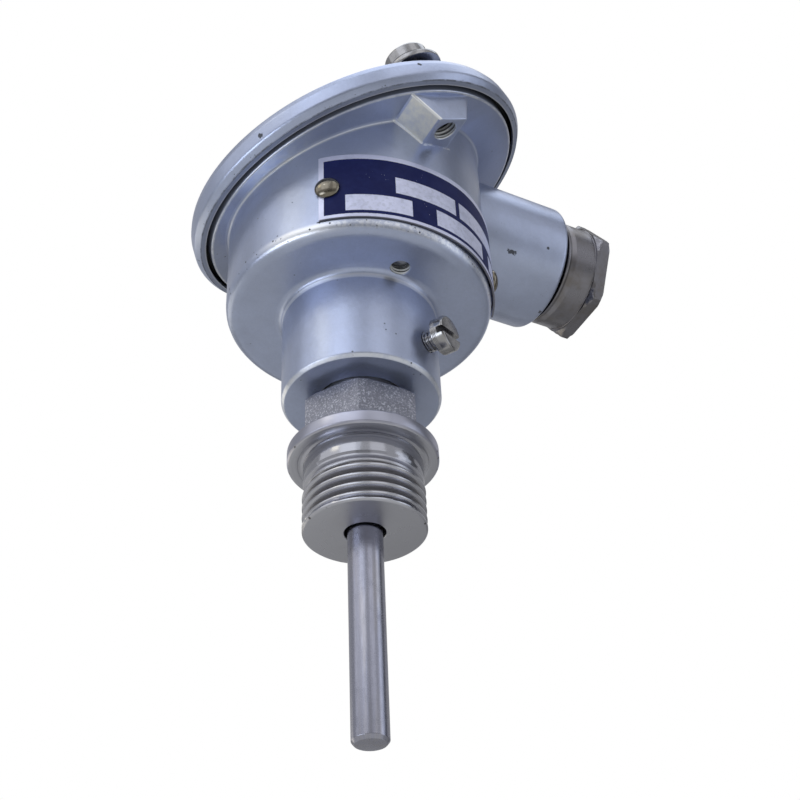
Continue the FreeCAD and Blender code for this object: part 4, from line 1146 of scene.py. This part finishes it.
def toward(place, target):
    """A matrix at a place whose -Z looks at the target."""
    turn = (target - place).to_track_quat("-Z", "Y")
    return Matrix.Translation(place) @ turn.to_matrix().to_4x4()


def beside_camera(azimuth, elevation, distance):
    """A place seen from the object's centre, its azimuth counted from the camera to its right."""
    turn, rise = math.radians(azimuth), math.radians(elevation)
    back = Vector((-CAMERA_AHEAD.x, -CAMERA_AHEAD.y, 0)).normalized()
    right = Vector((-back.y, back.x, 0))
    level = back * math.cos(turn) + right * math.sin(turn)
    return CENTRE + (level * math.cos(rise) + Vector((0, 0, math.sin(rise)))) * distance


def lamp(name, azimuth, elevation, watts, size, colour=DAYLIGHT, spread=180):
    """A soft panel that faces the object."""
    data = bpy.data.lights.new(name, "AREA")
    data.shape = "RECTANGLE"
    data.size, data.size_y = size
    data.energy = watts
    data.color = colour
    data.spread = math.radians(spread)
    obj = bpy.data.objects.new(name, data)
    obj.matrix_world = toward(beside_camera(azimuth, elevation, 0.5), CENTRE)
    obj.visible_camera = False
    bpy.context.scene.collection.objects.link(obj)


lamp("key", -22, 38, 0.20, (0.30, 0.45))
lamp("low_left", -55, -25, 0.3, (0.45, 0.35), spread=75)
lamp("right", 80, 5, 0.28, (0.25, 0.5))
lamp("cream", -52, 38, 0.055, (0.11, 0.12), CREAM)
lamp("warm", -125, -8, 0.06, (0.20, 0.40), WARM, 90)
lamp("glint", -27, 40, 0.012, (0.05, 0.02))
lamp("top", 60, 82, 0.7, (0.45, 0.45))


def panel(name, width, height, material, matrix):
    """A flat sheet round the object, which isn't a part of it."""
    x, y = width / 2 / MM, height / 2 / MM
    obj = mesh_object(name, [(-x, -y, 0), (x, -y, 0), (x, y, 0), (-x, y, 0)], [(0, 1, 2, 3)])
    obj.matrix_world = matrix
    obj.data.materials.append(material)
    return obj


def card(name, hides, width, height, matrix):
    """A dark sheet that only gloss sees, hiding this share of the white behind it."""
    obj = panel(name, width, height, flat_material(name, (0.10, 0.10, 0.11, 1), hides), matrix)
    obj.visible_camera = False
    obj.visible_diffuse = False
    obj.visible_shadow = False


def upright(name, hides, first, last, high=CARD_HIGH, reach=0.6):
    """A card that stands between two bearings beside the camera."""
    width = 2 * reach * math.tan(math.radians(last - first) / 2)
    middle = Vector((0, 0, (CARD_LOW + high) / 2 - CENTRE.z))
    place = beside_camera((first + last) / 2, 0, reach) + middle
    card(name, hides, width, high - CARD_LOW, toward(place, CENTRE + middle))


pale = flat_material("pale_floor", (0.86, 0.84, 0.78, 1))
panel("floor", FLOOR_SIZE, FLOOR_SIZE, pale, Matrix.Translation((0, 0, FLOOR)))
upright("left", 0.58, -165, -86)
upright("middle", 0.40, -11, 15)
upright("right", 0.45, 44, 82)
upright("far_right", 0.94, 82, 114)
upright("behind", 0.62, 114, 195)
upright("low_front", 0.50, -84, -20, high=0.14, reach=0.5)
upright("low_right", 0.50, -20, 44, high=0.14, reach=0.5)
card("ceiling", 0.55, 1.3, 1.3, Matrix.Translation((0, 0, 1.0)))
on_floor = beside_camera(140, 0, 0.45)
on_floor.z = FLOOR + 0.005
on_floor = Matrix.Translation(on_floor) @ Matrix.Rotation(math.radians(15.7), 4, "Z")
card("floor_right", 0.45, 0.6, 0.6, on_floor)

world = bpy.data.worlds.new("studio")
bpy.context.scene.world = world
world.use_nodes = True
tree = world.node_tree
tree.nodes.clear()


def background(colour, strength):
    node = tree.nodes.new("ShaderNodeBackground")
    node.inputs["Color"].default_value = colour
    node.inputs["Strength"].default_value = strength
    return node.outputs[0]


path = tree.nodes.new("ShaderNodeLightPath")
seen = path.outputs["Is Camera Ray"]
for ray in ("Is Glossy Ray", "Is Transmission Ray"):
    either = tree.nodes.new("ShaderNodeMath")
    either.operation = "MAXIMUM"
    tree.links.new(seen, either.inputs[0])
    tree.links.new(path.outputs[ray], either.inputs[1])
    seen = either.outputs[0]
ambient = background((0.97, 0.98, 1.0, 1), 0.58)
white = background((1, 1, 1, 1), 1.0)
choice = tree.nodes.new("ShaderNodeMixShader")
output = tree.nodes.new("ShaderNodeOutputWorld")
for source, socket in zip((seen, ambient, white), choice.inputs):
    tree.links.new(source, socket)
tree.links.new(choice.outputs[0], output.inputs["Surface"])

bpy.context.scene.view_settings.view_transform = "Standard"
